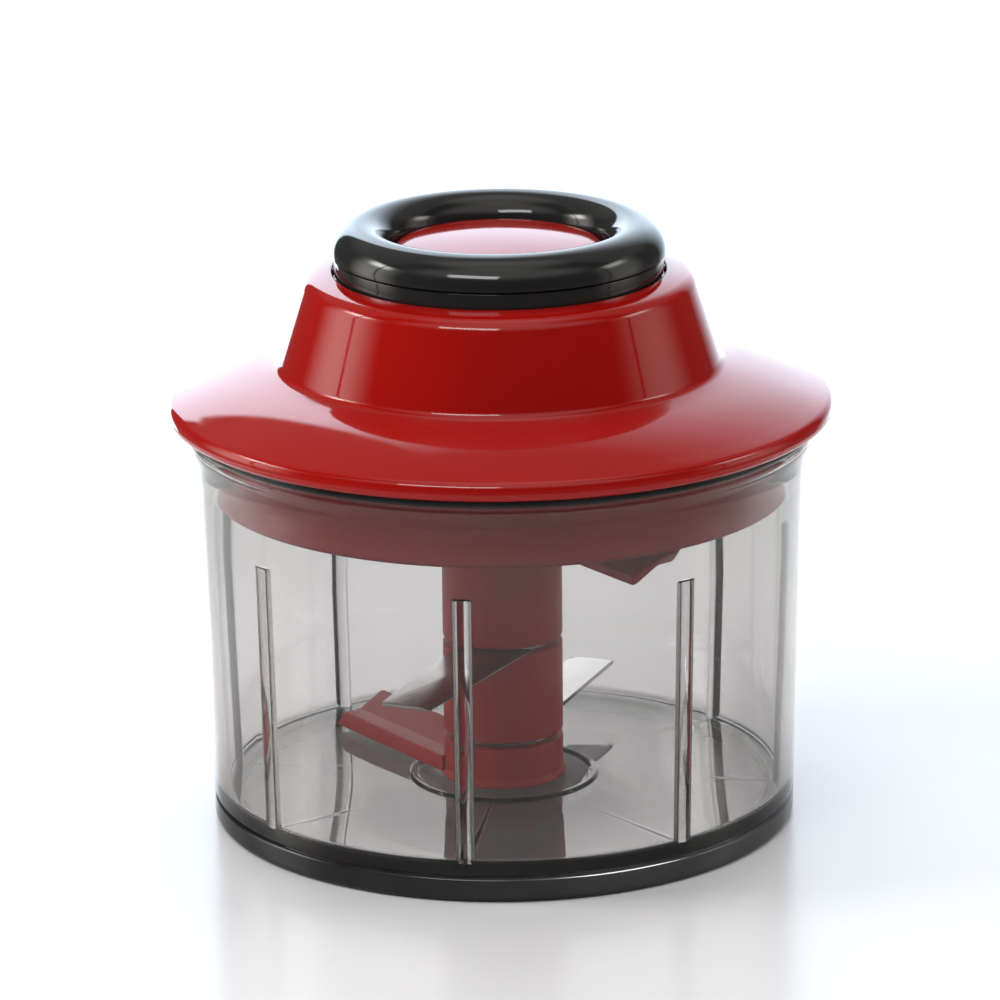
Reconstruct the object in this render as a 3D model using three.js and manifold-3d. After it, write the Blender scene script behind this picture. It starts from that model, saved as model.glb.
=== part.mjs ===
// A pull-string food chopper: a clear bowl, a blade column, and a lid with a cord reel and a pull ring.
// Millimetres, +Z up. The origin is the middle of the foot, on the table. All round pieces turn about +Z.
import * as THREE from 'three';
import { mergeVertices } from 'three/addons/utils/BufferGeometryUtils.js';
import Module from 'manifold-3d';

const wasm = await Module();
wasm.setup();

// Driving dimensions

const clearance = 0.3;
const overrun = 1;
const wideSteps = 40;
const middleSteps = 28;
const smallSteps = 16;
const fineSteps = 10;
const edgeSteps = 4;
const tubeSteps = 12;
const bendSteps = 6;

const foot = { radius: 58.9, width: 4.6, height: 4.7, round: 1.5 };

const bowl = {
  wall: 2.5,
  floorUnder: 3.4,
  floorTop: 7.4,
  footRadius: 58.95,
  neckRadius: 60.5,
  neckDrop: 10,
  rimFlare: 2.3,
  rimHeight: 82,
  rimBand: 2.4,
  rimWall: 2.3,
  rimRound: 0.6,
  flareHollow: 0.5,
  cornerRound: 1.6,
  beadRadius: 18.3,
  beadHalf: 1,
  beadCrown: 0.5,
  beadHeight: 0.6,
};

const rib = { count: 8, halfWidth: 1.9, proud: 1.6, root: 1, sunk: 0.8, topDrop: 10, firstAngle: -97.7 };

const pivot = { bossRadius: 4.6, bossHeight: 4.6, pinRadius: 1.9, pinFloor: 1.8, pinLength: 26, tip: 0.8 };

const column = {
  radius: 12.1,
  flareRadius: 13.1,
  flareHeight: 1.7,
  lowerSeam: 16.3,
  upperSeam: 36.4,
  topDrop: 15.6,
  recessDepth: 4.9,
  hexFlats: 11,
  stub: 8,
};

const blade = {
  thickness: 0.8,
  tipGap: 5.2,
  tipHalf: 5,
  rootLead: 9.2,
  rootTrail: 5.8,
  rootAt: 3,
  discRadius: 10.4,
  upperAngle: -112.2,
};

const paddle = {
  lead: 11.8,
  ledge: 4.2,
  trail: 0.2,
  faceHeight: 3.6,
  rise: 2.3,
  plate: 2.1,
  toeRise: 0.7,
  short: 5.9,
  tipSlant: 3,
  tipBack: 0.5,
  root: 3,
  belowTop: 3,
  lowerAngle: 125.7,
};

const lid = {
  deckRise: 29.4,
  seatRadius: 33.3,
  seatDepth: 2,
  deckLip: 0.5,
  deckEdge: 37.4,
  deckFall: 0.9,
  shoulderRadius: 39.3,
  shoulderRise: 26.4,
  shoulderBulge: 0.25,
  frustumRadius: 44,
  frustumRise: 11.7,
  brimRoot: 46.6,
  brimRootRise: 9.8,
  overhang: 2.1,
  brimCrestRise: 4,
  brimRound: 1.6,
  brimSweep: 60,
  brimMiddleRise: 1.85,
  lipRise: 1.5,
  lipRound: 0.5,
  wall: 2.2,
  bossRadius: 6.5,
  bossGap: 2.2,
};

const insert = {
  play: 0.9,
  draft: 0.6,
  wall: 1.9,
  lift: 1.4,
  plate: 2,
  bore: 10.6,
  flangeInset: 0.8,
  flangeThickness: 1.7,
};

const seal = { overhang: 1.1, thickness: 0.95, lipWidth: 1.4, lipHeight: 2.4 };

const lidScrew = {
  count: 4,
  inset: 8,
  firstAngle: 45,
  shank: 1.3,
  head: 3.1,
  headHeight: 1.7,
  sunk: 0.6,
  length: 13,
  boss: 5,
  bossHeight: 5.2,
  post: 3.4,
};

const drum = {
  lift: 8.2,
  flange: 19,
  flangeThickness: 1.5,
  core: 16,
  height: 14.8,
  floor: 4,
  cup: 13.4,
  hub: 5.4,
  hubHeight: 8,
  coverStep: 0.9,
  coverRest: 0.9,
};

const cord = { diameter: 1.8, loops: 4, gap: 0.5, steps: 24, sides: 6, bend: 5, angle: 90 };

const spring = { turns: 5, steps: 16, thickness: 0.45, width: 6.4, inner: 6.2 };

const spindle = {
  radius: 3,
  lift: 2.4,
  topDrop: 3.9,
  screwLength: 7,
  screwShank: 1.4,
  screwHead: 3.7,
  washer: 4.7,
  headHeight: 1.3,
  washerHeight: 0.65,
};

const socket = { radius: 8.6, flange: 12, flangeThickness: 1.8, lift: 0.7, roof: 1.2 };

const bush = { flange: 13, flangeThickness: 1.2 };

const guide = { groove: 3.9, rim: 4.8, width: 3.4, pin: 1, lug: 2, lugWidth: 4.4 };

const eyelet = { bore: 1.4, wall: 0.7, flange: 2.9, flangeThickness: 0.6 };

const handle = {
  radius: 28.2,
  tube: 6,
  tubeShift: 0.75,
  middleRise: 5.4,
  partingDrop: 0.2,
  seatGap: 0.4,
  channel: 3.2,
  roofWall: 2.7,
  floor: 2.2,
  chamfer: 1,
  waist: 0.6,
  cordHole: 1.5,
};

const handleScrew = {
  angles: [30, 150, 270],
  head: 2,
  headHeight: 1.3,
  shank: 0.9,
  post: 2.6,
  reach: 2.2,
  sunk: 0.3,
};

const knot = { radius: 2.3, height: 3.4, neckShare: 0.5, bandShare: 0.33 };

const dome = {
  radius: 20.9,
  edgeRise: 4.9,
  shoulderShare: 0.93,
  shoulderRise: 2,
  roundShare: 0.6,
  crownRise: 8.4,
  crownShare: 0.25,
  wall: 2.1,
};

// Materials, with the colours the photographed chopper has

function finish(colour, roughness, metalness) {
  return new THREE.MeshStandardMaterial({ color: colour, roughness, metalness });
}

const smoke = finish(0x8c898b, 0.06, 0);
const redGloss = finish(0xa81614, 0.12, 0);
const redSatin = finish(0x8e1d1b, 0.4, 0);
const blackGloss = finish(0x141414, 0.14, 0);
const blackRubber = finish(0x1c1c1d, 0.6, 0);
const steel = finish(0xc9ccd0, 0.22, 1);
const springSteel = finish(0x8f949a, 0.35, 1);
const greyPlastic = finish(0x55575b, 0.5, 0);
const cordWhite = finish(0xd9d6cf, 0.85, 0);

// Solids

/** A geometry as a closed solid: corners are merged, flat triangles dropped and the faces point out. */
function solid(geometry) {
  const bare = geometry.index ? geometry.toNonIndexed() : geometry.clone();
  bare.deleteAttribute('normal');
  bare.deleteAttribute('uv');
  const merged = mergeVertices(bare);
  const corners = merged.attributes.position.array;
  const kept = [];
  const source = merged.index.array;
  let volume = 0;
  for (let i = 0; i < source.length; i += 3) {
    const [a, b, c] = [source[i], source[i + 1], source[i + 2]];
    if (a === b || b === c || c === a) continue;
    kept.push(a, b, c);
    const [p, q, r] = [a, b, c].map((n) => new THREE.Vector3().fromArray(corners, n * 3));
    volume += p.dot(q.cross(r));
  }
  const triVerts = new Uint32Array(kept);
  if (volume < 0) {
    for (let i = 0; i < triVerts.length; i += 3) {
      [triVerts[i], triVerts[i + 1]] = [triVerts[i + 1], triVerts[i]];
    }
  }
  const vertProperties = new Float32Array(corners);
  return new wasm.Manifold(new wasm.Mesh({ numProp: 3, vertProperties, triVerts }));
}

/** A solid as a named mesh in the finish given. */
function piece(name, body, material) {
  const { vertProperties, triVerts } = body.getMesh();
  const geometry = new THREE.BufferGeometry();
  geometry.setAttribute('position', new THREE.BufferAttribute(vertProperties, 3));
  geometry.setIndex(new THREE.BufferAttribute(triVerts, 1));
  geometry.computeVertexNormals();
  const mesh = new THREE.Mesh(geometry, material);
  mesh.name = name;
  return mesh;
}

/** A profile of radius and height points turned about +Z. A profile off the axis is closed on itself. */
function turned(points, steps) {
  const profile = points.map(([radius, height]) => new THREE.Vector2(radius, height));
  const [first, last] = [profile[0], profile[profile.length - 1]];
  if (first.x !== 0 || last.x !== 0) profile.push(first.clone());
  return solid(new THREE.LatheGeometry(profile, steps).rotateX(Math.PI / 2));
}

/** Points on an arc, with angles in degrees from the outward direction. */
function arc(centreRadius, centreHeight, radius, from, to, steps) {
  return Array.from({ length: steps + 1 }, (_, i) => {
    const angle = THREE.MathUtils.degToRad(from + ((to - from) * i) / steps);
    return [centreRadius + radius * Math.cos(angle), centreHeight + radius * Math.sin(angle)];
  });
}

/** An upright rod about the axis. */
function rod(radius, bottom, top, steps) {
  return turned([[0, bottom], [radius, bottom], [radius, top], [0, top]], steps);
}

/** An upright hexagonal bar, with a corner to +X. */
function hexBar(flats, bottom, top) {
  return rod(flats / Math.sqrt(3), bottom, top, 6);
}

/** An outline in plan, given as points, as a plate. */
function plate(points, bottom, thickness) {
  const shape = new THREE.Shape(points.map(([x, y]) => new THREE.Vector2(x, y)));
  const geometry = new THREE.ExtrudeGeometry(shape, { depth: thickness, bevelEnabled: false });
  return solid(geometry.translate(0, 0, bottom));
}

/** A section swept along points. Its first axis is square to the path and to the sideways direction. */
function swept(points, section, sideways) {
  const count = section.length;
  const corners = [];
  points.forEach((point, i) => {
    const before = points[Math.max(i - 1, 0)];
    const after = points[Math.min(i + 1, points.length - 1)];
    const along = after.clone().sub(before).normalize();
    const across = along.clone().cross(sideways).normalize();
    const up = across.clone().cross(along);
    section.forEach(([u, v]) => {
      corners.push(...point.clone().addScaledVector(across, u).addScaledVector(up, v).toArray());
    });
  });
  const faces = [];
  for (let i = 0; i < points.length - 1; i += 1) {
    for (let k = 0; k < count; k += 1) {
      const next = (k + 1) % count;
      const [a, b, c, d] = [i * count + k, i * count + next, (i + 1) * count + next, (i + 1) * count + k];
      faces.push(a, b, c, a, c, d);
    }
  }
  const last = (points.length - 1) * count;
  for (let k = 1; k < count - 1; k += 1) {
    faces.push(0, k + 1, k, last, last + k, last + k + 1);
  }
  const geometry = new THREE.BufferGeometry();
  geometry.setAttribute('position', new THREE.Float32BufferAttribute(corners, 3));
  geometry.setIndex(faces);
  return solid(geometry);
}

/** The corners of a round section. */
function roundSection(radius, sides) {
  return Array.from({ length: sides }, (_, k) => {
    const angle = (2 * Math.PI * k) / sides;
    return [radius * Math.cos(angle), radius * Math.sin(angle)];
  });
}

/** Where an angle in degrees meets a circle about the axis. */
function onCircle(radius, degrees, height) {
  const angle = THREE.MathUtils.degToRad(degrees);
  return new THREE.Vector3(radius * Math.cos(angle), radius * Math.sin(angle), height);
}

const up = new THREE.Vector3(0, 0, 1);
const chopper = new THREE.Group();

// Foot ring: a soft black ring with a flat sole and a rounded outer edge

const footInner = foot.radius - foot.width;
chopper.add(piece('foot_ring', turned([
  [footInner, 0],
  ...arc(foot.radius - foot.round, foot.round, foot.round, -90, 0, edgeSteps),
  [foot.radius, foot.height],
  [footInner, foot.height],
], wideSteps), blackRubber));

// Bowl: a tapered wall that flares to its rim, a floor with a bead round a boss, and ribs inside the wall

const floorRadius = footInner - clearance;
const wallDraft = (bowl.neckRadius - bowl.footRadius) / (bowl.rimHeight - bowl.neckDrop - foot.height);
const wallRadiusAt = (height) => bowl.footRadius + wallDraft * (height - foot.height);
const innerRadiusAt = (height) => wallRadiusAt(height) - bowl.wall;
const neckHeight = bowl.rimHeight - bowl.neckDrop;
const ribTop = neckHeight - rib.topDrop;
const rimRadius = bowl.neckRadius + bowl.rimFlare;
const rimInner = rimRadius - bowl.rimWall;
const rimBottom = bowl.rimHeight - bowl.rimBand;
const flareMiddle = (neckHeight + rimBottom) / 2;
const flareRadius = (bowl.neckRadius + rimRadius) / 2;
const cornerRadius = innerRadiusAt(bowl.floorTop + bowl.cornerRound) - bowl.cornerRound;
const pivotTop = bowl.floorTop + pivot.bossHeight;
const pinBottom = bowl.floorUnder + pivot.pinFloor;
const pinBore = pivot.pinRadius + clearance;

const bowlShell = turned([
  [0, bowl.floorUnder],
  [floorRadius, bowl.floorUnder],
  [floorRadius, foot.height + clearance],
  [bowl.footRadius, foot.height + clearance],
  [bowl.neckRadius, neckHeight],
  [flareRadius - bowl.flareHollow, flareMiddle],
  [rimRadius, rimBottom],
  [rimRadius, bowl.rimHeight - bowl.rimRound],
  [rimRadius - bowl.rimRound, bowl.rimHeight],
  [rimInner, bowl.rimHeight],
  [rimInner, rimBottom],
  [flareRadius - bowl.wall, flareMiddle],
  [bowl.neckRadius - bowl.wall, neckHeight],
  ...arc(cornerRadius, bowl.floorTop + bowl.cornerRound, bowl.cornerRound, 0, -90, edgeSteps),
  [bowl.beadRadius + bowl.beadHalf, bowl.floorTop],
  [bowl.beadRadius + bowl.beadCrown, bowl.floorTop + bowl.beadHeight],
  [bowl.beadRadius - bowl.beadCrown, bowl.floorTop + bowl.beadHeight],
  [bowl.beadRadius - bowl.beadHalf, bowl.floorTop],
  [pivot.bossRadius, bowl.floorTop],
  [pivot.bossRadius, pivotTop],
  [pinBore, pivotTop],
  [pinBore, pinBottom],
  [0, pinBottom],
], wideSteps);

/** One upright rib, which stands proud of the inside of the wall and leans with it. */
function wallRib(degrees) {
  const inwards = (rib.proud - rib.root) / 2;
  const places = [bowl.floorTop - rib.sunk, ribTop]
    .map((height) => onCircle(innerRadiusAt(height) - inwards, degrees, height));
  const section = roundSection(1, fineSteps)
    .map(([u, v]) => [(u * (rib.proud + rib.root)) / 2, v * rib.halfWidth]);
  return swept(places, section, onCircle(1, degrees + 90, 0));
}

let bowlBody = bowlShell;
for (let i = 0; i < rib.count; i += 1) {
  bowlBody = bowlBody.add(wallRib(rib.firstAngle + (i * 360) / rib.count));
}
chopper.add(piece('bowl', bowlBody, smoke));

// Pivot pin: a steel pin in the boss of the bowl's floor

const pinTop = pinBottom + clearance + pivot.pinLength;
chopper.add(piece('pivot_pin', turned([
  [0, pinBottom + clearance],
  [pivot.pinRadius, pinBottom + clearance],
  [pivot.pinRadius, pinTop - pivot.tip],
  [pivot.pinRadius - pivot.tip, pinTop],
  [0, pinTop],
], smallSteps), steel));

// Blade column: three sleeves on a hexagonal shaft, a blade in each seam and a paddle on each end sleeve

const hubBottom = bowl.floorTop + clearance;
const shaftBottom = hubBottom + column.recessDepth;
const columnTop = bowl.rimHeight - column.topDrop;
const shaftTop = columnTop + column.stub;
const bladeReach = innerRadiusAt(column.lowerSeam) - rib.proud - blade.tipGap;
const paddleReach = bladeReach - paddle.short;
const hexHole = (bottom, top) => hexBar(column.hexFlats + 2 * clearance, bottom, top);

const coreShaft = hexBar(column.hexFlats, shaftBottom + clearance, shaftTop)
  .subtract(rod(pinBore, shaftBottom - overrun, pinTop + clearance, smallSteps));
chopper.add(piece('core_shaft', coreShaft, greyPlastic));

/** The paddle as a bar from inside the sleeve to its tip: an upright face, a ledge and a rising plate. */
function paddleBar(base, turn, sense) {
  const ledgeAt = -paddle.lead + paddle.ledge;
  const ledgeHeight = paddle.faceHeight;
  const section = [
    [-paddle.lead, 0, paddleReach],
    [ledgeAt, paddle.toeRise, paddleReach],
    [paddle.trail, ledgeHeight + paddle.rise - paddle.plate, paddleReach - paddle.tipBack],
    [paddle.trail, ledgeHeight + paddle.rise, paddleReach - paddle.tipBack],
    [ledgeAt, ledgeHeight, paddleReach - paddle.tipSlant],
    [-paddle.lead, ledgeHeight, paddleReach - paddle.tipSlant],
  ];
  const place = (reach, offset, height) => new THREE.Vector3(reach, -offset, base + sense * height)
    .applyAxisAngle(up, THREE.MathUtils.degToRad(turn)).toArray();
  const inner = section.flatMap(([o, h]) => place(paddle.root, o, h));
  const outer = section.flatMap(([o, h, tip]) => place(tip, o, h));
  const count = section.length;
  const faces = [];
  for (let k = 0; k < count; k += 1) {
    const next = (k + 1) % count;
    faces.push(k, next, next + count, k, next + count, k + count);
  }
  const outline = section.map(([o, h]) => new THREE.Vector2(o, h));
  THREE.ShapeUtils.triangulateShape(outline, []).forEach(([a, b, c]) => {
    faces.push(a, c, b, a + count, b + count, c + count);
  });
  const geometry = new THREE.BufferGeometry();
  geometry.setAttribute('position', new THREE.Float32BufferAttribute([...inner, ...outer], 3));
  geometry.setIndex(faces);
  return solid(geometry);
}

const lowerHubTop = column.lowerSeam - clearance;
const paddleBase = bowl.floorTop + bowl.beadHeight + clearance;
const lowerHub = turned([
  [0, hubBottom],
  [column.flareRadius, hubBottom],
  [column.radius, hubBottom + column.flareHeight],
  [column.radius, lowerHubTop],
  [0, lowerHubTop],
], middleSteps)
  .add(paddleBar(paddleBase, paddle.lowerAngle, 1))
  .subtract(rod(pivot.bossRadius + 2 * clearance, hubBottom - overrun, shaftBottom, smallSteps))
  .subtract(hexHole(shaftBottom - clearance, lowerHubTop + overrun));
chopper.add(piece('lower_hub', lowerHub, redSatin));

/** A flat blade: an arm with a straight back and a tapered cutting side, on a disc with a hexagonal hole. */
function bladePlate(bottom, degrees) {
  const arm = plate([
    [0, -blade.rootTrail],
    [bladeReach, -blade.tipHalf],
    [bladeReach, blade.tipHalf],
    [blade.rootAt, blade.rootLead],
    [0, blade.rootLead],
  ], bottom, blade.thickness);
  return arm.add(rod(blade.discRadius, bottom, bottom + blade.thickness, smallSteps))
    .rotate([0, 0, degrees])
    .subtract(hexHole(bottom - overrun, bottom + blade.thickness + overrun));
}

chopper.add(piece('lower_blade', bladePlate(column.lowerSeam, blade.upperAngle + 180), steel));
chopper.add(piece('upper_blade', bladePlate(column.upperSeam, blade.upperAngle), steel));

const middleBottom = column.lowerSeam + blade.thickness + clearance;
const middleTop = column.upperSeam - clearance;
const middleHub = rod(column.radius, middleBottom, middleTop, middleSteps)
  .subtract(hexHole(middleBottom - overrun, middleTop + overrun));
chopper.add(piece('middle_hub', middleHub, redSatin));

const upperBottom = column.upperSeam + blade.thickness + clearance;
const paddleTop = columnTop - paddle.belowTop;
const upperHub = rod(column.radius, upperBottom, columnTop, middleSteps)
  .add(paddleBar(paddleTop, paddle.lowerAngle + 180, -1))
  .subtract(hexHole(upperBottom - overrun, columnTop + overrun));
chopper.add(piece('upper_hub', upperHub, redSatin));

// Lid cover: a red shell with a wide brim, a tapered turret and a round seat for the pull ring

const brimLip = bowl.rimHeight + lid.lipRise;
const brimMiddle = brimLip + lid.brimMiddleRise;
const brimCrestHeight = brimLip + lid.brimCrestRise;
const brimRootHeight = brimLip + lid.brimRootRise;
const frustumFoot = brimLip + lid.frustumRise;
const shoulderHeight = brimLip + lid.shoulderRise;
const deckHeight = brimLip + lid.deckRise;
const insertBottom = columnTop + insert.lift;
const drumBottom = insertBottom + drum.lift;
const drumTop = drumBottom + drum.height;
const seatFloor = deckHeight - lid.seatDepth;
const spindleTop = seatFloor - spindle.topDrop;
const bossBottom = drumTop + lid.bossGap;
const deckUnder = seatFloor - lid.wall;
const brimCrest = rimRadius + lid.overhang;
const brimEdge = arc(brimCrest, brimMiddle, lid.brimRound, lid.brimSweep, -lid.brimSweep, edgeSteps);
const deckEdgeHeight = deckHeight - lid.deckFall;
const shoulderMiddle = (lid.deckEdge + lid.shoulderRadius) / 2 + lid.shoulderBulge;
const shoulderMiddleHeight = (deckEdgeHeight + shoulderHeight) / 2 + 2 * lid.shoulderBulge;
const rootMiddle = (lid.frustumRadius + lid.brimRoot) / 2 - 2 * lid.shoulderBulge;
const rootMiddleHeight = (frustumFoot + brimRootHeight) / 2 - lid.shoulderBulge;
const shellTop = [lid.shoulderRadius - lid.wall, deckUnder];
const spindleBore = spindle.radius + clearance;

const coverShell = turned([
  [0, seatFloor],
  [lid.seatRadius, seatFloor],
  [lid.seatRadius, deckHeight - lid.deckLip],
  [lid.seatRadius + lid.deckLip, deckHeight],
  [lid.deckEdge, deckEdgeHeight],
  [shoulderMiddle, shoulderMiddleHeight],
  [lid.shoulderRadius, shoulderHeight],
  [lid.frustumRadius, frustumFoot],
  [rootMiddle, rootMiddleHeight],
  [lid.brimRoot, brimRootHeight],
  [brimCrest, brimCrestHeight],
  ...brimEdge,
  [brimCrest - lid.lipRound, brimLip],
  [brimCrest - lid.wall, brimLip],
  [brimCrest - lid.wall - clearance, brimCrestHeight - lid.wall + clearance],
  [lid.brimRoot - clearance, brimRootHeight - lid.wall - clearance],
  [lid.frustumRadius - lid.wall, frustumFoot - clearance],
  shellTop,
  [lid.bossRadius, deckUnder],
  [lid.bossRadius, bossBottom],
  [spindleBore, bossBottom],
  [spindleBore, spindleTop + clearance],
  [0, spindleTop + clearance],
], wideSteps);

const insertTop = brimLip + insert.flangeThickness;
const insertRadius = innerRadiusAt(insertBottom) - insert.play;
const flangeRadius = rimRadius - insert.flangeInset;
const screwCircle = insertRadius - lidScrew.inset;
const bossTop = insertBottom + lidScrew.bossHeight;
const postBottom = bossTop + clearance;
const brimSlope = (brimRootHeight - brimCrestHeight) / (brimCrest - lid.brimRoot);
const postTop = brimCrestHeight + brimSlope * (brimCrest - screwCircle) - lid.wall / 2;
const screwTop = insertBottom + lidScrew.sunk + lidScrew.headHeight + lidScrew.length;
const screwAngles = Array.from({ length: lidScrew.count }, (_, i) => (
  lidScrew.firstAngle + (i * 360) / lidScrew.count
));
const shankHole = lidScrew.shank + clearance;
const pullPoint = onCircle(handle.radius, cord.angle, seatFloor);

/** A solid moved to a place in plan. */
function movedTo(body, place) {
  return body.translate([place.x, place.y, 0]);
}

// The cord leaves the drum along a tangent, turns upwards over a grooved guide and rises under the pull ring

const windRadius = drum.core + cord.diameter / 2 + clearance / 2;
const reach = Math.sqrt(handle.radius ** 2 - windRadius ** 2);
const leaveAngle = cord.angle - THREE.MathUtils.radToDeg(Math.atan2(reach, windRadius));
const leavePoint = onCircle(windRadius, leaveAngle, 0);
const cordDirection = onCircle(1, leaveAngle + 90, 0);
const windPitch = cord.diameter + cord.gap;
const windBottom = drumBottom + drum.flangeThickness + clearance + cord.diameter / 2;
const leaveHeight = windBottom + windPitch * cord.loops;
const guidePlace = pullPoint.clone()
  .addScaledVector(cordDirection, -cord.bend)
  .setZ(leaveHeight + cord.bend);
const guideAxis = onCircle(1, leaveAngle, 0);
const lugOffset = guide.width / 2 + clearance + guide.lug / 2;

/** One lug that hangs from the deck beside the guide, bored for its pin. */
function guideLug(side) {
  const bottom = guidePlace.z - guide.pin - guide.lug / 2;
  const height = deckUnder + lid.wall / 2 - bottom;
  const lugShape = new THREE.BoxGeometry(guide.lug, guide.lugWidth, height)
    .rotateZ(THREE.MathUtils.degToRad(leaveAngle));
  const place = guidePlace.clone().addScaledVector(guideAxis, side * lugOffset);
  return solid(lugShape.translate(place.x, place.y, bottom + height / 2));
}

/** A rod along the guide's axis, through its middle. */
function crossRod(radius, halfLength, steps) {
  const rodShape = new THREE.CylinderGeometry(radius, radius, 2 * halfLength, steps)
    .rotateZ(Math.PI / 2)
    .rotateZ(THREE.MathUtils.degToRad(leaveAngle));
  return solid(rodShape.translate(guidePlace.x, guidePlace.y, guidePlace.z));
}

const pinHalf = lugOffset + guide.lug / 2;
const eyeletOuter = eyelet.bore + eyelet.wall;
const eyeletHole = eyeletOuter + clearance;
let cover = coverShell.add(guideLug(1)).add(guideLug(-1))
  .subtract(crossRod(guide.pin + clearance, pinHalf + overrun, fineSteps))
  .subtract(movedTo(rod(eyeletHole, deckUnder - overrun, seatFloor + overrun, smallSteps), pullPoint));
for (const degrees of screwAngles) {
  const place = onCircle(screwCircle, degrees, 0);
  cover = cover.add(movedTo(rod(lidScrew.post, postBottom, postTop, fineSteps), place))
    .subtract(movedTo(rod(shankHole, postBottom - overrun, screwTop + clearance, fineSteps), place));
}
chopper.add(piece('lid_cover', cover, redGloss));

// Lid insert: the plug that drops into the bowl, screwed to the cover from below

const skirtRadius = insertRadius + insert.draft;
let plug = turned([
  [insert.bore, insertBottom],
  [insertRadius, insertBottom],
  [skirtRadius, brimLip],
  [flangeRadius, brimLip],
  [flangeRadius, insertTop],
  [skirtRadius - insert.wall, insertTop],
  [insertRadius - insert.wall, insertBottom + insert.plate],
  [insert.bore, insertBottom + insert.plate],
], wideSteps);
const headTop = insertBottom + lidScrew.sunk + lidScrew.headHeight;
const headHole = lidScrew.head + clearance;
for (const degrees of screwAngles) {
  const place = onCircle(screwCircle, degrees, 0);
  plug = plug.add(movedTo(rod(lidScrew.boss, insertBottom + insert.plate / 2, bossTop, fineSteps), place))
    .subtract(movedTo(rod(headHole, insertBottom - overrun, headTop + clearance, fineSteps), place))
    .subtract(movedTo(rod(shankHole, insertBottom, bossTop + overrun, fineSteps), place));
}
chopper.add(piece('lid_insert', plug, redSatin));

screwAngles.forEach((degrees, i) => {
  const headBottom = insertBottom + lidScrew.sunk;
  const screw = turned([
    [0, headBottom],
    [lidScrew.head, headBottom],
    [lidScrew.head, headTop],
    [lidScrew.shank, headTop],
    [lidScrew.shank, screwTop],
    [0, screwTop],
  ], fineSteps);
  chopper.add(piece(`lid_screw_${i + 1}`, movedTo(screw, onCircle(screwCircle, degrees, 0)), steel));
});

// Lid seal: a black gasket between the insert's flange and the bowl's rim, with a lip inside the rim

const sealTop = brimLip - clearance;
const sealBottom = sealTop - seal.thickness;
const sealInner = skirtRadius + clearance;
const sealRadius = rimRadius + seal.overhang;
chopper.add(piece('lid_seal', turned([
  [sealInner, sealBottom - seal.lipHeight],
  [sealInner + seal.lipWidth, sealBottom - seal.lipHeight],
  [sealInner + seal.lipWidth, sealBottom],
  [sealRadius, sealBottom],
  [sealRadius, sealTop],
  [sealInner, sealTop],
], wideSteps), blackRubber));

// Cord eyelet: a steel ring in the seat, which the cord rises through

chopper.add(piece('cord_eyelet', movedTo(turned([
  [eyelet.bore, deckUnder - eyelet.flangeThickness],
  [eyelet.flange, deckUnder - eyelet.flangeThickness - clearance],
  [eyelet.flange, deckUnder - clearance],
  [eyeletOuter, deckUnder - clearance],
  [eyeletOuter, seatFloor],
  [eyelet.bore, seatFloor],
], smallSteps), pullPoint), steel));

// Cord guide: a grooved steel sleeve on a pin between the lugs, over which the cord turns upwards

const guideProfile = turned([
  [guide.pin + clearance, -guide.width / 2],
  [guide.rim, -guide.width / 2],
  [guide.groove, 0],
  [guide.rim, guide.width / 2],
  [guide.pin + clearance, guide.width / 2],
], smallSteps);
const guideBody = guideProfile.rotate([0, 90, leaveAngle]).translate(guidePlace.toArray());
chopper.add(piece('cord_guide', guideBody, steel));
chopper.add(piece('guide_pin', crossRod(guide.pin, pinHalf, fineSteps), steel));

// Spindle, with the screw and washer that hold the drum up on it

const spindleBottom = drumBottom + spindle.lift;
const retainerTop = spindleBottom + spindle.screwLength;
const retainerHole = spindle.screwShank + clearance;
const spindleRod = rod(spindle.radius, spindleBottom, spindleTop, smallSteps)
  .subtract(rod(retainerHole, spindleBottom - overrun, retainerTop + clearance, fineSteps));
chopper.add(piece('spindle', spindleRod, steel));
const washerBottom = spindleBottom - clearance - spindle.washerHeight;
const retainerHead = washerBottom - clearance;
chopper.add(piece('retaining_screw', turned([
  [0, retainerHead - spindle.headHeight],
  [spindle.screwHead, retainerHead - spindle.headHeight],
  [spindle.screwHead, retainerHead],
  [spindle.screwShank, retainerHead],
  [spindle.screwShank, retainerTop],
  [0, retainerTop],
], fineSteps), steel));
const washerRing = rod(spindle.washer, washerBottom, spindleBottom - clearance, smallSteps)
  .subtract(rod(retainerHole, washerBottom - overrun, spindleBottom + overrun, fineSteps));
chopper.add(piece('retaining_washer', washerRing, steel));

// Cord drum: a flanged reel with a cup for the rewind spring and a recess for the washer

const flangeTop = drumTop - drum.flangeThickness;
const cupFloor = drumBottom + drum.floor;
const coverRebate = drum.cup + drum.coverRest;
const washerRecess = spindle.washer + clearance;
const rebateFloor = drumTop - drum.coverStep - clearance;
chopper.add(piece('cord_drum', turned([
  [washerRecess, drumBottom],
  [drum.flange, drumBottom],
  [drum.flange, drumBottom + drum.flangeThickness],
  [drum.core, drumBottom + drum.flangeThickness],
  [drum.core, flangeTop],
  [drum.flange, flangeTop],
  [drum.flange, drumTop],
  [coverRebate, drumTop],
  [coverRebate, rebateFloor],
  [drum.cup, rebateFloor],
  [drum.cup, cupFloor],
  [drum.hub, cupFloor],
  [drum.hub, cupFloor + drum.hubHeight],
  [spindleBore, cupFloor + drum.hubHeight],
  [spindleBore, spindleBottom],
  [washerRecess, spindleBottom],
], middleSteps), greyPlastic));

// Rewind spring: a flat strip wound as a spiral in the drum's cup

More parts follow.
